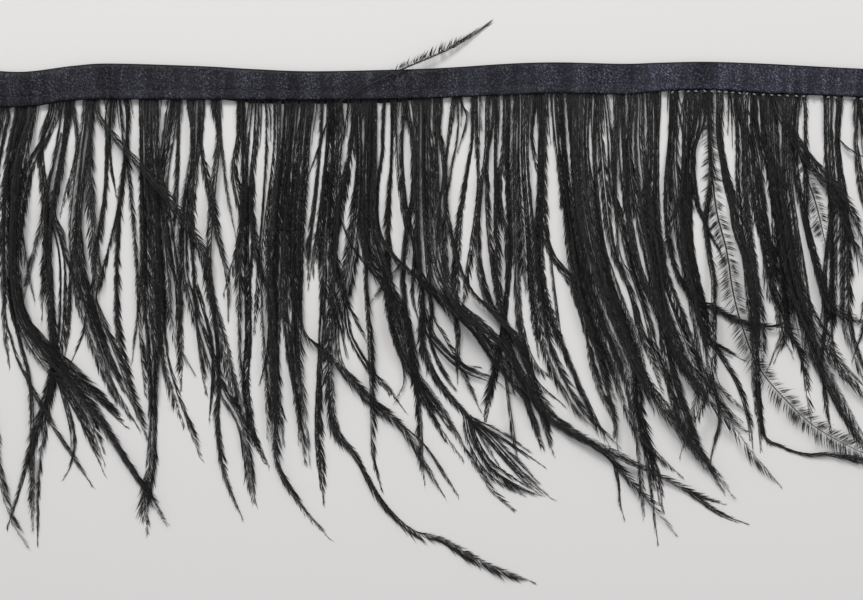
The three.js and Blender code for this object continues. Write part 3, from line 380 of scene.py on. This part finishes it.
def satinMaterial():
    # navy black with crosswise bands of painted sheen and shade where the satin wrinkles, and painted glints
    # of the satin weave in patches
    material, tree, shader = newMaterial("navySatin", 0.5)
    shader.inputs["Specular IOR Level"].default_value = 0.12
    bands = noiseAt(tree, (9, 60, 60), detail=2.0)
    glints = noiseAt(tree, (0.85, 0.27, 2), turn=-48)
    patches = noiseAt(tree, (4.5, 30, 30), detail=2.0)
    # painted sheen and shade: crosswise bands over the navy black
    dark = colourBetween(tree, bands, (0.004, 0.004, 0.0065), (0.019, 0.019, 0.027))
    # painted glints, stronger in patches
    bright = colourBetween(tree, glints, (0, 0, 0), (0.15, 0.15, 0.18), 0.53, 0.76)
    strength = greyBetween(tree, patches, 0.35, 1, 0.4, 0.58)
    glitter = mixColours(tree, "MULTIPLY", 1.0, bright, strength)
    cloth = mixColours(tree, "ADD", 1.0, dark, glitter)

    # painted sheen: lighter towards the right end, where the satin's sheen rises
    coords = tree.nodes.new("ShaderNodeTexCoord")
    apart = tree.nodes.new("ShaderNodeSeparateXYZ")
    tree.links.new(coords.outputs["Object"], apart.inputs["Vector"])
    wearAndSheen = colourBetween(tree, apart.outputs["X"], (0.85, 0.85, 0.85), (1.4, 1.4, 1.5), 0, 90 * mm)
    cloth = mixColours(tree, "MULTIPLY", 1.0, cloth, wearAndSheen)

    # painted shade: nearly black along the fold, where the satin turns away from the light
    fold = addNode(tree, "ShaderNodeAttribute", attribute_name="fold").outputs["Fac"]
    shade = mixColours(tree, "MIX", fold, cloth, (0.0015, 0.0015, 0.002, 1))
    tree.links.new(shade, shader.inputs["Base Color"])
    bumpFrom(tree, shader, glints, 0.3, 0.12)
    return material


def threadMaterial(name, colour):
    material, tree, shader = newMaterial(name, 0.55)
    twist = noiseAt(tree, (0.5, 0.16, 0.5), turn=35)
    light = tuple(1.8 * c for c in colour)
    tree.links.new(colourBetween(tree, twist, colour, light), shader.inputs["Base Color"])
    bumpFrom(tree, shader, twist, 0.5, 0.1)
    return material


# feather barbs

barb = {
    "radius": (0.22, 0.17, 0.06),       # of a shaft
    "radiusAt": (0, 0.6, 1),    # at these parts of its length
    "breadth": 1.15,            # width of a shaft against its radius
    "flatness": 0.6,            # height of a shaft against its radius
    "openThicker": 0.4,         # the shaft of an open barb is thicker by this part
    "step": 2.5,                # distance between the shaft's rings
    "pathStep": 0.5,            # distance between the points of a path
    "leastPoints": 8,           # of a short path
    "rounding": 8,              # points before and after over which a climb is rounded off
    "perMillimetre": 1.55,      # barbs side by side in one millimetre of a lock
    "fewer": 0.3,               # taken off that number for a strand before it is rounded
    "fuller": (20, 60, 1.2),    # from the first X to the second the locks gain this factor of barbs
    # and these locks have a factor of their own
    "fullerLocks": {7: 0.85, 10: 0.8, 17: 0.85, 23: 1.4, 27: 2.0, 39: 0.9, 45: 1.5, 48: 1.4, 49: 1.5,
                    50: 1.3, 53: 0.85},
    "spreadAt": (0, 0.2, 0.7, 1),       # at these parts of a strand's length
    "spread": (0.8, 1, 0.95, 0.55),     # its barbs fill these parts of its width
    "rootSpread": 0.7,          # they stand this much wider where the ribbon pinches them
    "rootSpreadFades": 14,      # and that wears off over about this length
    "crossing": 0.34,           # how far a tip leaves the place its root has, as a part of the width
    "splay": 0.75,              # the outermost place a tip may have, as a part of the width
    "turn": (1.2, 0.1),         # it goes there over the middle of its length, by this slope and start
    "leastReach": 0.7,          # the shortest barb of a strand against the strand
    "shortOnes": 2,             # short barbs beside each strand that end just below the ribbon
    "shortest": 9,
    "longestShort": 27,
    "shortPlace": 1.1,          # how far beside the strand they stand, as a part of the width
    "shortTurn": 0.3,           # how far their tips leave that place
    "wander": 0.15,             # how far a barb drifts across its lock, as a part of the width
    "leastWidth": 0.6,          # a slimmer strand's barbs wander as if it had this width
    "rise": 0.18,               # how far it drifts up and down
    "waves": (210, 95, 48),     # lengths of the waves it drifts in
    "wanderGrows": 6,           # the drift is at its full size after one part in this many
    "riseGrows": 8,
    "hiddenShare": 0.75,        # the part of the inner barbs that has fewer barbules
    "darker": 1.6,              # above 1 there are more dark barbs than light ones
    "shaftTone": 0.5,           # tone of a shaft against its barb
    "leastTone": 0.15,          # tone of the darkest barbules
    "halfThick": 0.35,          # half the thickness of the solid lock
    "rootY": 0.6,               # the roots of a lock meet here in the fold
    "fannedOut": 2.2,           # this far below the ribbon each strand has reached its own place
    "sewnAbove": -8.5,          # a strand that starts above this Y is sewn in, others branch off
}
barbule = {
    "spacing": 0.34,            # along each side of the shaft
    "hiddenSpacing": 0.7,       # on barbs that lie inside a lock
    "length": 4.1,
    "openLength": 4.5,
    "sides": (0.55, 1.15),      # length on a barb's thin and full side
    "sidesVary": (0.85, 1.1),
    "openSides": (1, 0.9),
    "uneven": (0.65, 1.2),      # lengths of neighbours
    "lengthAt": (0, 30, 110),           # this far from the ribbon
    "lengthThere": (0.7, 1.03, 1.25),   # the barbules have this part of their length
    "tipFade": 12,              # over this length before the tip they shrink
    "tipLength": 0.4,           # to this part
    "tuftAt": (0.3, 0.7, 1),    # places on a barb where its tuft values hold
    "firstAndLast": (0.02, 0.995),      # the part of the shaft that has barbules
    "angle": 12,                # degrees from the shaft where the barbules cling
    "looseAngle": 31,           # where they stand off a little
    "openAngle": 64,            # where the barb is open like a fern
    "unruly": 2,                # degrees they vary by where they cling
    "looseUnruly": 3,           # and this much more where they are loose
    "looseWave": 14,            # length over which clinging and loose stretches take turns
    "looseFrom": 40,            # nearer the ribbon than this they are less loose
    "leastLoose": 0.5,          # down to this part
    "lift": 24,                 # degrees they rise or dip by
    "bendAt": 0.4,              # where a barbule bends, as a part of its length
    "bend": 0.55,               # the part of its angle that is left after the bend
    "openBend": 0.3,            # and this much more on an open barb
    "width": 0.042,
    "openWidth": 0.1,
    "floor": 0.04,              # nothing lies lower than this
}
openStrands = {(46, 2), (52, 2)}    # lock number and strand whose barbules stand open like a fern
strayBarb = {
    "width": 0.8,
    "openness": 0.75,           # of its open shaft, where 1 is like a fern
    "openSides": (0.15, 0.6),   # length of the barbules on the right and left of the shaft
    "openTuft": (0.9, 1.5, 0.4),        # and along it
    "clingingSides": (0.4, 0.65),
    "clingingTuft": (0.4, 0.9, 3.2),
}


def strandTops(node):
    # highest CAD point above each place in plan, which tells how high a strand lies there
    tops = {}
    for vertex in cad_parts[node].data.vertices:
        x, y, z = vertex.co / mm
        key = (round(x, 1), round(y, 1))
        tops[key] = max(tops.get(key, 0), z)
    return tops


def inSpace(tops, route, firstHeight):
    # the route with the height of the strand's middle at each of its points
    z = []
    for x, y in route:
        near = [tops[key] for dx in (-0.1, 0, 0.1) for dy in (-0.1, 0, 0.1)
                if (key := (round(x + dx, 1), round(y + dy, 1))) in tops]
        otherwise = z[-1] if z else firstHeight
        z.append(max(near) - barb["halfThick"] if near else otherwise)
    return np.column_stack([route, z])


def strandRoute(tops, lines, number):
    # one strand of a lock in space, with its root in the fold
    route = lines[number][1]
    if route[0][1] > barb["sewnAbove"]:
        sewn = [line[0][0] for _, line in lines if line[0][1] > barb["sewnAbove"]]
        below = (route[0][0], lowerEdge(route[0][0]) - barb["fannedOut"])
        route = np.vstack([(np.mean(sewn), barb["rootY"]), below, route[1:]])
    return inSpace(tops, route, ribbon["thick"] / 2)


def finePath(points):
    # evenly spaced points along a strand, with the climbs rounded off
    smooth = throughPoints(points, perSegment=24)
    places = np.linspace(0, len(points) - 1, len(smooth))
    smooth[:, 2] = np.interp(places, np.arange(len(points)), points[:, 2])
    run = np.concatenate([[0], np.cumsum(np.linalg.norm(np.diff(smooth, axis=0), axis=1))])
    even = np.linspace(0, run[-1], max(barb["leastPoints"], int(run[-1] / barb["pathStep"])))
    path = np.column_stack([np.interp(even, run, smooth[:, k]) for k in range(3)])
    window = 2 * barb["rounding"] + 1
    heights = np.pad(path[:, 2], barb["rounding"], mode="edge")
    path[:, 2] = np.convolve(heights, np.ones(window) / window, mode="valid")
    return path, even


def slowDrift(rng, run, size):
    # a smooth wander made of a few slow waves
    total = np.zeros_like(run)
    longest = max(barb["waves"])
    for wave in barb["waves"]:
        total += rng.normal() * np.sin(2 * np.pi * run / wave + rng.uniform(0, anyPhase)) * wave / longest
    return size * total


def sideOf(path):
    # level direction to the left of the path at each point
    along = np.gradient(path[:, :2], axis=0)
    along /= np.maximum(np.linalg.norm(along, axis=1, keepdims=True), 1e-9)
    return np.column_stack([-along[:, 1], along[:, 0], np.zeros(len(path))])


def shaftMesh(path, radius):
    # a slim three-sided shaft, closed at both ends
    rings = np.arange(0, len(path), max(1, int(barb["step"] / barb["pathStep"])))
    if rings[-1] != len(path) - 1:
        rings = np.append(rings, len(path) - 1)
    side = sideOf(path)[rings]
    up = np.array([0, 0, barb["flatness"]])
    corners = []
    for a in (math.pi / 2, math.pi * 7 / 6, math.pi * 11 / 6):
        outwards = math.cos(a) * side * barb["breadth"] + math.sin(a) * up
        corners.append(path[rings] + radius[rings, None] * outwards)
    points = np.stack(corners, axis=1).reshape(-1, 3)
    first = 3 * np.arange(len(rings) - 1)[:, None]
    i = np.array([0, 1, 2])
    j = np.array([1, 2, 0])
    lower = np.stack([first + i, first + j, first + j + 3], axis=2).reshape(-1, 3)
    upper = np.stack([first + i, first + j + 3, first + i + 3], axis=2).reshape(-1, 3)
    last = 3 * (len(rings) - 1)
    return points, np.concatenate([lower, upper, [[2, 1, 0], [last, last + 1, last + 2]]])


def leaning(angle, along, out):
    # directions that lean this far from along towards out
    return np.cos(angle)[:, None] * along + np.sin(angle)[:, None] * out


def barbuleAngles(rng, place, openness):
    # clinging and looser stretches take turns along a barb
    wave = 0.5 + 0.5 * np.sin(place / barbule["looseWave"] + rng.uniform(0, anyPhase))
    loose = wave * np.clip(place / barbule["looseFrom"], barbule["leastLoose"], 1)
    cling = between(barbule["angle"], barbule["looseAngle"], loose)
    unruly = rng.normal(0, barbule["unruly"] + barbule["looseUnruly"] * loose, len(place))
    return np.radians(between(cling, barbule["openAngle"], openness) + unruly)


def barbuleLengths(rng, place, whole, openness, scale, tuft):
    fade = np.clip((whole - place) / barbule["tipFade"], barbule["tipLength"], 1)
    fade = fade * np.interp(place, barbule["lengthAt"], barbule["lengthThere"])
    length = fade * scale * between(barbule["length"], barbule["openLength"], openness)
    length = length * rng.uniform(*barbule["uneven"], len(place))
    return length * np.interp(place / whole, barbule["tuftAt"], tuft)


def barbuleMesh(rng, path, run, openness, sides, spacing, tuft):
    # closed four-sided slivers on both sides of the shaft, bent a little towards the tip
    side = sideOf(path)
    along = np.gradient(path, axis=0)
    along /= np.linalg.norm(along, axis=1, keepdims=True)
    up = np.array([0, 0, 1.0])
    half = between(barbule["width"], barbule["openWidth"], openness) / 2
    first, last = barbule["firstAndLast"]
    slivers = []
    for hand, scale in zip((-1, 1), sides):
        place = np.sort(rng.uniform(run[-1] * first, run[-1] * last, int(run[-1] / spacing)))
        at = np.clip(np.searchsorted(run, place), 0, len(run) - 1)
        angle = barbuleAngles(rng, place, openness)
        length = barbuleLengths(rng, place, run[-1], openness, scale, tuft)
        lift = np.radians(rng.normal(0, barbule["lift"], len(place)))
        out = leaning(lift, hand * side[at], up)
        reach = leaning(angle, along[at], out)
        bent = leaning(angle * (barbule["bend"] + barbule["openBend"] * openness), along[at], out)
        middle = path[at] + reach * (barbule["bendAt"] * length)[:, None]
        tip = middle + bent * ((1 - barbule["bendAt"]) * length)[:, None]
        across = np.cross(reach, up) * half
        slivers.append(np.stack([path[at], middle + across, middle - across + half * up, tip], axis=1))
    slivers = np.concatenate(slivers)
    slivers[:, :, 2] = np.maximum(slivers[:, :, 2], barbule["floor"])
    faces = np.array([[0, 2, 1], [0, 3, 2], [0, 1, 3], [1, 2, 3]])
    faces = 4 * np.arange(len(slivers))[:, None, None] + faces

    # turn the slivers that are inside out
    edges = slivers[:, 1:] - slivers[:, :1]
    turned = np.einsum("ij,ij->i", np.cross(edges[:, 0], edges[:, 1]), edges[:, 2]) < 0
    faces[turned] = faces[turned][:, :, ::-1]
    return slivers.reshape(-1, 3), faces.reshape(-1, 3)


def strandBarbs(rng, points, width, openness=0.0, sides=None, fullness=1.0, tuft=(1, 1, 1)):
    # the barbs of one strand; a tip may lie across its neighbours' places
    path, run = finePath(points)
    whole = run[-1]
    side = sideOf(path)
    count = max(1, round(width * barb["perMillimetre"] * fullness - barb["fewer"]))
    short = round(barb["shortOnes"] * fullness) if points[0][1] > barb["sewnAbove"] else 0
    if openness:
        count, short = 1, 0
    roots = (np.arange(count) + 0.5) / count - 0.5
    tips = np.clip(roots + rng.normal(0, barb["crossing"], count), -barb["splay"], barb["splay"])
    tips *= min(1, count - 1)
    slope, start = barb["turn"]
    meshes = []
    for k in range(count + short):
        reach = 1 if k == count // 2 else rng.uniform(barb["leastReach"], 1.0)
        if k >= count:
            reach = min(1, rng.uniform(barb["shortest"], barb["longestShort"]) / whole)
        keep = run <= whole * reach
        ownRun = run[keep]
        t = ownRun / whole
        turn = np.clip(t / reach * slope - start, 0, 1)
        if k < count:
            place = roots[k] + (tips[k] - roots[k]) * turn * turn * (3 - 2 * turn)
        else:
            place = rng.uniform(-barb["shortPlace"], barb["shortPlace"])
            place = place + rng.normal(0, barb["shortTurn"]) * turn
        spread = width * fullness * np.interp(t, barb["spreadAt"], barb["spread"])
        spread += barb["rootSpread"] * np.exp(-ownRun / barb["rootSpreadFades"]) * min(1, count - 1 + short)
        drift = slowDrift(rng, ownRun, barb["wander"] * max(width, barb["leastWidth"]))
        drift *= np.clip(t * barb["wanderGrows"], 0, 1)
        own = path[keep] + side[keep] * (place * spread + drift)[:, None]
        own[:, 2] += slowDrift(rng, ownRun, barb["rise"]) * np.clip(t * barb["riseGrows"], 0, 1)
        radius = np.interp(t / reach, barb["radiusAt"], barb["radius"])
        radius = radius * (1 + barb["openThicker"] * openness)
        own[:, 2] = np.maximum(own[:, 2], radius + barbule["floor"])
        tone = rng.uniform(0, 1) ** barb["darker"]
        meshes.append((*shaftMesh(own, radius), tone * barb["shaftTone"]))
        ownSides = sides
        if not sides and openness:
            ownSides = barbule["openSides"]
        elif not sides:
            ownSides = rng.permutation(barbule["sides"]) * rng.uniform(*barbule["sidesVary"])
        hidden = k >= count or 0 < k < count - 1 and rng.uniform() < barb["hiddenShare"]
        spacing = barbule["hiddenSpacing" if hidden else "spacing"]
        fluff = barbuleMesh(rng, own, ownRun, openness, ownSides, spacing, tuft)
        meshes.append((*fluff, between(barb["leastTone"], 1, tone)))
    return meshes


def hairPiece(name, meshes, material):
    # joins the meshes, each with its own tone, in one object
    starts = np.cumsum([0] + [len(points) for points, _, _ in meshes])
    points = np.concatenate([points for points, _, _ in meshes]) * mm
    faces = np.concatenate([faces + start for (_, faces, _), start in zip(meshes, starts)])
    tones = np.concatenate([np.full(len(points), tone) for points, _, tone in meshes])
    mesh = bpy.data.meshes.new(name)
    mesh.vertices.add(len(points))
    mesh.vertices.foreach_set("co", points.astype(np.float32).ravel())
    mesh.loops.add(faces.size)
    mesh.loops.foreach_set("vertex_index", faces.astype(np.int32).ravel())
    mesh.polygons.add(len(faces))
    mesh.polygons.foreach_set("loop_start", np.arange(0, faces.size, 3, dtype=np.int32))
    mesh.update(calc_edges=True)
    mesh.attributes.new("tone", "FLOAT", "POINT").data.foreach_set("value", tones.astype(np.float32))
    return addPiece(name, mesh, material)


def addPiece(name, mesh, material):
    mesh.materials.append(material)
    piece = bpy.data.objects.new(name, mesh)
    bpy.context.scene.collection.objects.link(piece)
    return piece


def makeLocks(material):
    total = 0
    firstX, lastX, factor = barb["fuller"]
    for number, strands in enumerate(lockStrands, 1):
        lines = [(width, np.array(route, float)) for width, *route in strands]
        rng = np.random.default_rng(randomSeed + number)
        node = f"feather_lock_{number:02d}"
        tops = strandTops(node)
        lockX = lines[0][1][0][0]
        fullness = np.interp(lockX, [firstX, lastX], [1, factor]) * barb["fullerLocks"].get(number, 1)
        meshes = []
        for k, (width, _) in enumerate(lines):
            openness = 1.0 if (number, k) in openStrands else 0.0
            meshes += strandBarbs(rng, strandRoute(tops, lines, k), width, openness, fullness=fullness)
        piece = hairPiece(f"barbs_{number:02d}", meshes, material)
        settle(piece, "barbs", node)
        total += len(piece.data.polygons)
    print("locks of barbs:", len(lockStrands), "triangles:", total)


def makeStray(material):
    # an open and a clinging shaft side by side make the fluff in the middle and the dense tip
    rng = np.random.default_rng(randomSeed)
    points = inSpace(strandTops("stray_barb"), strayRoute, ribbon["thick"])
    meshes = strandBarbs(rng, points, strayBarb["width"], strayBarb["openness"],
                         sides=strayBarb["openSides"], tuft=strayBarb["openTuft"])
    meshes += strandBarbs(rng, points, strayBarb["width"],
                          sides=strayBarb["clingingSides"], tuft=strayBarb["clingingTuft"])
    settle(hairPiece("stray_barb_hairs", meshes, material), "barbs", "stray_barb")
    print("stray barb")


# ribbon and stitching

ribbon = {
    "end": 160,                 # half the length
    "thick": 2.4,
    "leaf": 0.4,
    "step": 0.8,                # distance between the sections along X
    "rows": 15,                 # points across the front leaf
    "bend": (67, 45, 22, 0, -22, -45, -67),     # degrees round the fold where its points lie
    "backShows": 1.2,           # the back leaf's edge stands this far below the front one
    "backShowsAt": (-72, -62, -12, -4),         # X where that begins, is reached, and ends again
    "pucker": 0.26,             # height of the crosswise puckers between stitches
    "puckerNoise": (0.28, 0.05),        # how fast they change along X and Y
    "crease": 0.22,             # height of the long creases
    "creaseNoise": (0.11, 0.12),
    "creaseSlant": 0.02,
    "buckle": 0.55,             # height of the one smooth buckle
    "buckleAt": -131,
    "buckleWidth": 4.5,
    "seamDip": 0.16,            # the stitches pull the satin down by this
    "seamWidth": 0.7,
    "flatTop": 0.25,            # the part of the height over which the puckers die out at the fold
    "fray": 0.2,                # waviness of the lower edge
    "frayNoise": 0.45,
    "fineFray": 0.12,
    "fineFrayNoise": 1.9,
    "paintedFoldShade": 0.75,           # painted shade: the fold is dark from here to the upper edge
    "paintedFoldShadeFades": 0.35,
}
stitching = {
    "end": 156,                 # the row runs this far on both sides of the middle
    "pitch": 3.1,
    "pitchVaries": (0.9, 1.1),
    "sizes": (2.1, 0.34, 0.3),
    "rise": 2.8,                # above the lower edge
    "riseVaries": 0.12,
    "proud": 0.06,              # above the satin
    "slant": 0.03,              # radians
    "slantVaries": 0.08,
}
edgeLoops = {
    "from": 84,
    "to": 157,
    "pitch": 2.8,
    "pitchVaries": (0.8, 1.2),
    "sizes": (1.2, 0.6, 0.4),
    "drop": 0.8,                # below the lower edge
    "height": 1.9,
    "heightVaries": 0.2,
    "slant": 0.3,               # radians, to either hand
    "slantVaries": 0.15,
}


def satinHeight(x, y, top, low):
    # puckers between the stitches, a few long creases and one smooth buckle
    across = (top - y) / max(top - low, 0.1)
    alongX, alongY = ribbon["puckerNoise"]
    pucker = ribbon["pucker"] * noise.noise(Vector((x * alongX, y * alongY, 0.4)))
    alongX, alongY = ribbon["creaseNoise"]
    crease = ribbon["crease"] * noise.noise(Vector((x * alongX + ribbon["creaseSlant"] * y, y * alongY, 5.2)))
    buckle = ribbon["buckle"] * math.exp(-((x - ribbon["buckleAt"]) / ribbon["buckleWidth"]) ** 2)
    row = -ribbon["seamDip"] * math.exp(-((y - low - stitching["rise"]) / ribbon["seamWidth"]) ** 2)
    return (pucker + crease + buckle) * min(1, across / ribbon["flatTop"]) + row


def roundFold(top, centre, radius, degrees):
    # points round the fold as (y, z)
    return [(top - centre + radius * math.cos(a), centre + radius * math.sin(a)) for a in np.radians(degrees)]


def ribbonSection(x):
    # the folded satin cut across, as (y, z): front leaf, fold, back leaf, and back along the inside
    top = upperEdge(x)
    frayed = ribbon["fray"] * noise.noise(Vector((x * ribbon["frayNoise"], 3.1, 0)))
    frayed += ribbon["fineFray"] * noise.noise(Vector((x * ribbon["fineFrayNoise"], 7.7, 0)))
    low = lowerEdge(x) + frayed
    backLow = low - ribbon["backShows"] * float(np.interp(x, ribbon["backShowsAt"], [0, 1, 1, 0]))
    leaf = ribbon["leaf"]
    centre = ribbon["thick"] / 2
    across = np.linspace(low, top - centre, ribbon["rows"])
    front = [(y, ribbon["thick"] + satinHeight(x, y, top, low)) for y in across]
    fold = roundFold(top, centre, centre, ribbon["bend"])
    back = [(top - centre, 0), (backLow, 0), (backLow, leaf), (top - centre, leaf)]
    foldInside = roundFold(top, centre, centre - leaf, ribbon["bend"][::-1])
    frontInside = [(y, z - leaf) for y, z in reversed(front)]
    return front + fold + back + foldInside + frontInside


def nextRing(ring, newVerts):
    # the new vertex that grew from each old one, in the same order
    neighbours = [[edge.other_vert(vert) for edge in vert.link_edges] for vert in ring]
    return [next(vert for vert in around if vert in newVerts) for around in neighbours]


def makeRibbon(material):
    end = ribbon["end"]
    places = np.linspace(-end, end, int(2 * end / ribbon["step"]) + 1)
    mesh = bmesh.new()
    ring = [mesh.verts.new((-end * mm, y * mm, z * mm)) for y, z in ribbonSection(-end)]
    firstEdges = [mesh.edges.new(pair) for pair in zip(ring, ring[1:] + ring[:1])]
    edges = firstEdges
    for x in places[1:]:
        # draw the section out to the next place and reshape it there
        grown = bmesh.ops.extrude_edge_only(mesh, edges=edges)["geom"]
        edges = [part for part in grown if isinstance(part, bmesh.types.BMEdge) and part.is_boundary]
        ring = nextRing(ring, {vert for edge in edges for vert in edge.verts})
        for vert, (y, z) in zip(ring, ribbonSection(x)):
            vert.co = Vector((x, y, z)) * mm
    bmesh.ops.holes_fill(mesh, edges=firstEdges, sides=0)
    bmesh.ops.holes_fill(mesh, edges=edges, sides=0)
    bmesh.ops.recalc_face_normals(mesh, faces=mesh.faces)
    # painted shade along the fold, kept in the fold attribute
    dark = mesh.verts.layers.float.new("fold")
    for vert in mesh.verts:
        x, y, _ = vert.co / mm
        vert[dark] = float(np.clip((y - upperEdge(x) + ribbon["paintedFoldShade"]) / ribbon["paintedFoldShadeFades"], 0, 1))
    piece = pieceFrom(mesh, "satin_ribbon_cloth", material)
    settle(piece, "satin", "satin_ribbon")
    print("ribbon")
    return piece


def pieceFrom(mesh, name, material, smooth=True):
    data = bpy.data.meshes.new(name)
    mesh.to_mesh(data)
    mesh.free()
    for face in data.polygons:
        face.use_smooth = smooth
    return addPiece(name, data, material)


def addStitch(mesh, centre, heading, sizes):
    # one visible stitch: a small rounded bar of thread
    place = Matrix.LocRotScale(Vector(centre) * mm, Euler((0, 0, heading)), Vector(sizes) * mm / 2)
    bmesh.ops.create_uvsphere(mesh, u_segments=7, v_segments=5, radius=1,
                              matrix=place @ Matrix.Rotation(math.pi / 2, 4, "Y"))


def makeStitches(rng, material):
    row = bmesh.new()
    x = -stitching["end"]
    while x < stitching["end"]:
        low = lowerEdge(x)
        y = low + stitching["rise"] + rng.normal(0, stitching["riseVaries"])
        z = ribbon["thick"] + satinHeight(x, y, upperEdge(x), low) + stitching["proud"]
        heading = rng.normal(stitching["slant"], stitching["slantVaries"])
        addStitch(row, (x, y, z), heading, stitching["sizes"])
        x += stitching["pitch"] * rng.uniform(*stitching["pitchVaries"])
    settle(pieceFrom(row, "sewing_stitches", material), "thread", "sewing_thread")


def makeEdgeLoops(rng, material):
    # thread loops that show below the ribbon's edge near its right end
    loops = bmesh.new()
    x = edgeLoops["from"]
    while x < edgeLoops["to"]:
        y = lowerEdge(x) - edgeLoops["drop"]
        hand = 1 if rng.random() < 0.5 else -1
        heading = edgeLoops["slant"] * hand + rng.normal(0, edgeLoops["slantVaries"])
        z = edgeLoops["height"] + rng.uniform(0, edgeLoops["heightVaries"])
        addStitch(loops, (x, y, z), heading, edgeLoops["sizes"])
        x += edgeLoops["pitch"] * rng.uniform(*edgeLoops["pitchVaries"])
    settle(pieceFrom(loops, "edge_loops", material), "thread")
    print("stitches and edge loops")


# table, light and camera; places in metres

stage = {
    "tableColour": (0.735, 0.718, 0.703, 1),
    "tableReach": 8,
    "roomColour": (0.95, 0.97, 1, 1),
    "roomLight": 0.42,
    "aim": (0, -0.07, 0),
    "camera": (0, -0.0756, 0.5034),
    "lens": 60,
    "sensor": 36,
}


def makeStage():
    table = bmesh.new()
    bmesh.ops.create_grid(table, x_segments=1, y_segments=1, size=stage["tableReach"])
    material, _, shader = newMaterial("paleTableTop", 0.7)
    shader.inputs["Base Color"].default_value = stage["tableColour"]
    shader.inputs["Specular IOR Level"].default_value = 0.2
    pieceFrom(table, "paleTable", material, smooth=False)

    world = bpy.data.worlds.new("paleRoom")
    world.use_nodes = True
    background = world.node_tree.nodes["Background"]
    background.inputs["Color"].default_value = stage["roomColour"]
    background.inputs["Strength"].default_value = stage["roomLight"]
    bpy.context.scene.world = world
    addLight("window", place=(-0.3, 0.75, 0.9), size=0.45, power=9.5)
    addLight("fill", place=(0.75, 0.25, 0.9), size=0.7, power=3.4)

    lens = bpy.data.cameras.new("above")
    lens.lens = stage["lens"]
    lens.sensor_width = stage["sensor"]
    camera = bpy.data.objects.new("above", lens)
    camera.location = stage["camera"]
    bpy.context.scene.collection.objects.link(camera)
    bpy.context.scene.camera = camera
    bpy.context.scene.view_settings.view_transform = "Standard"
    print("stage")


def addLight(name, place, size, power):
    data = bpy.data.lights.new(name, "AREA")
    data.shape = "DISK"
    data.size = size
    data.energy = power
    light = bpy.data.objects.new(name, data)
    light.location = place
    light.rotation_euler = (Vector(stage["aim"]) - Vector(place)).to_track_quat("-Z", "Y").to_euler()
    bpy.context.scene.collection.objects.link(light)


barbs = barbMaterial()
satin = satinMaterial()
darkThread = threadMaterial("darkThread", (0.013, 0.013, 0.018))
# the edge loops are black thread; their grey is a painted highlight for its glints
paintedGlintThread = threadMaterial("paintedGlintThread", (0.16, 0.16, 0.17))

makeLocks(barbs)
makeStray(barbs)
cloth = makeRibbon(satin)
threadRng = np.random.default_rng(randomSeed + 500)
makeStitches(threadRng, darkThread)
makeEdgeLoops(threadRng, paintedGlintThread)
makeStage()
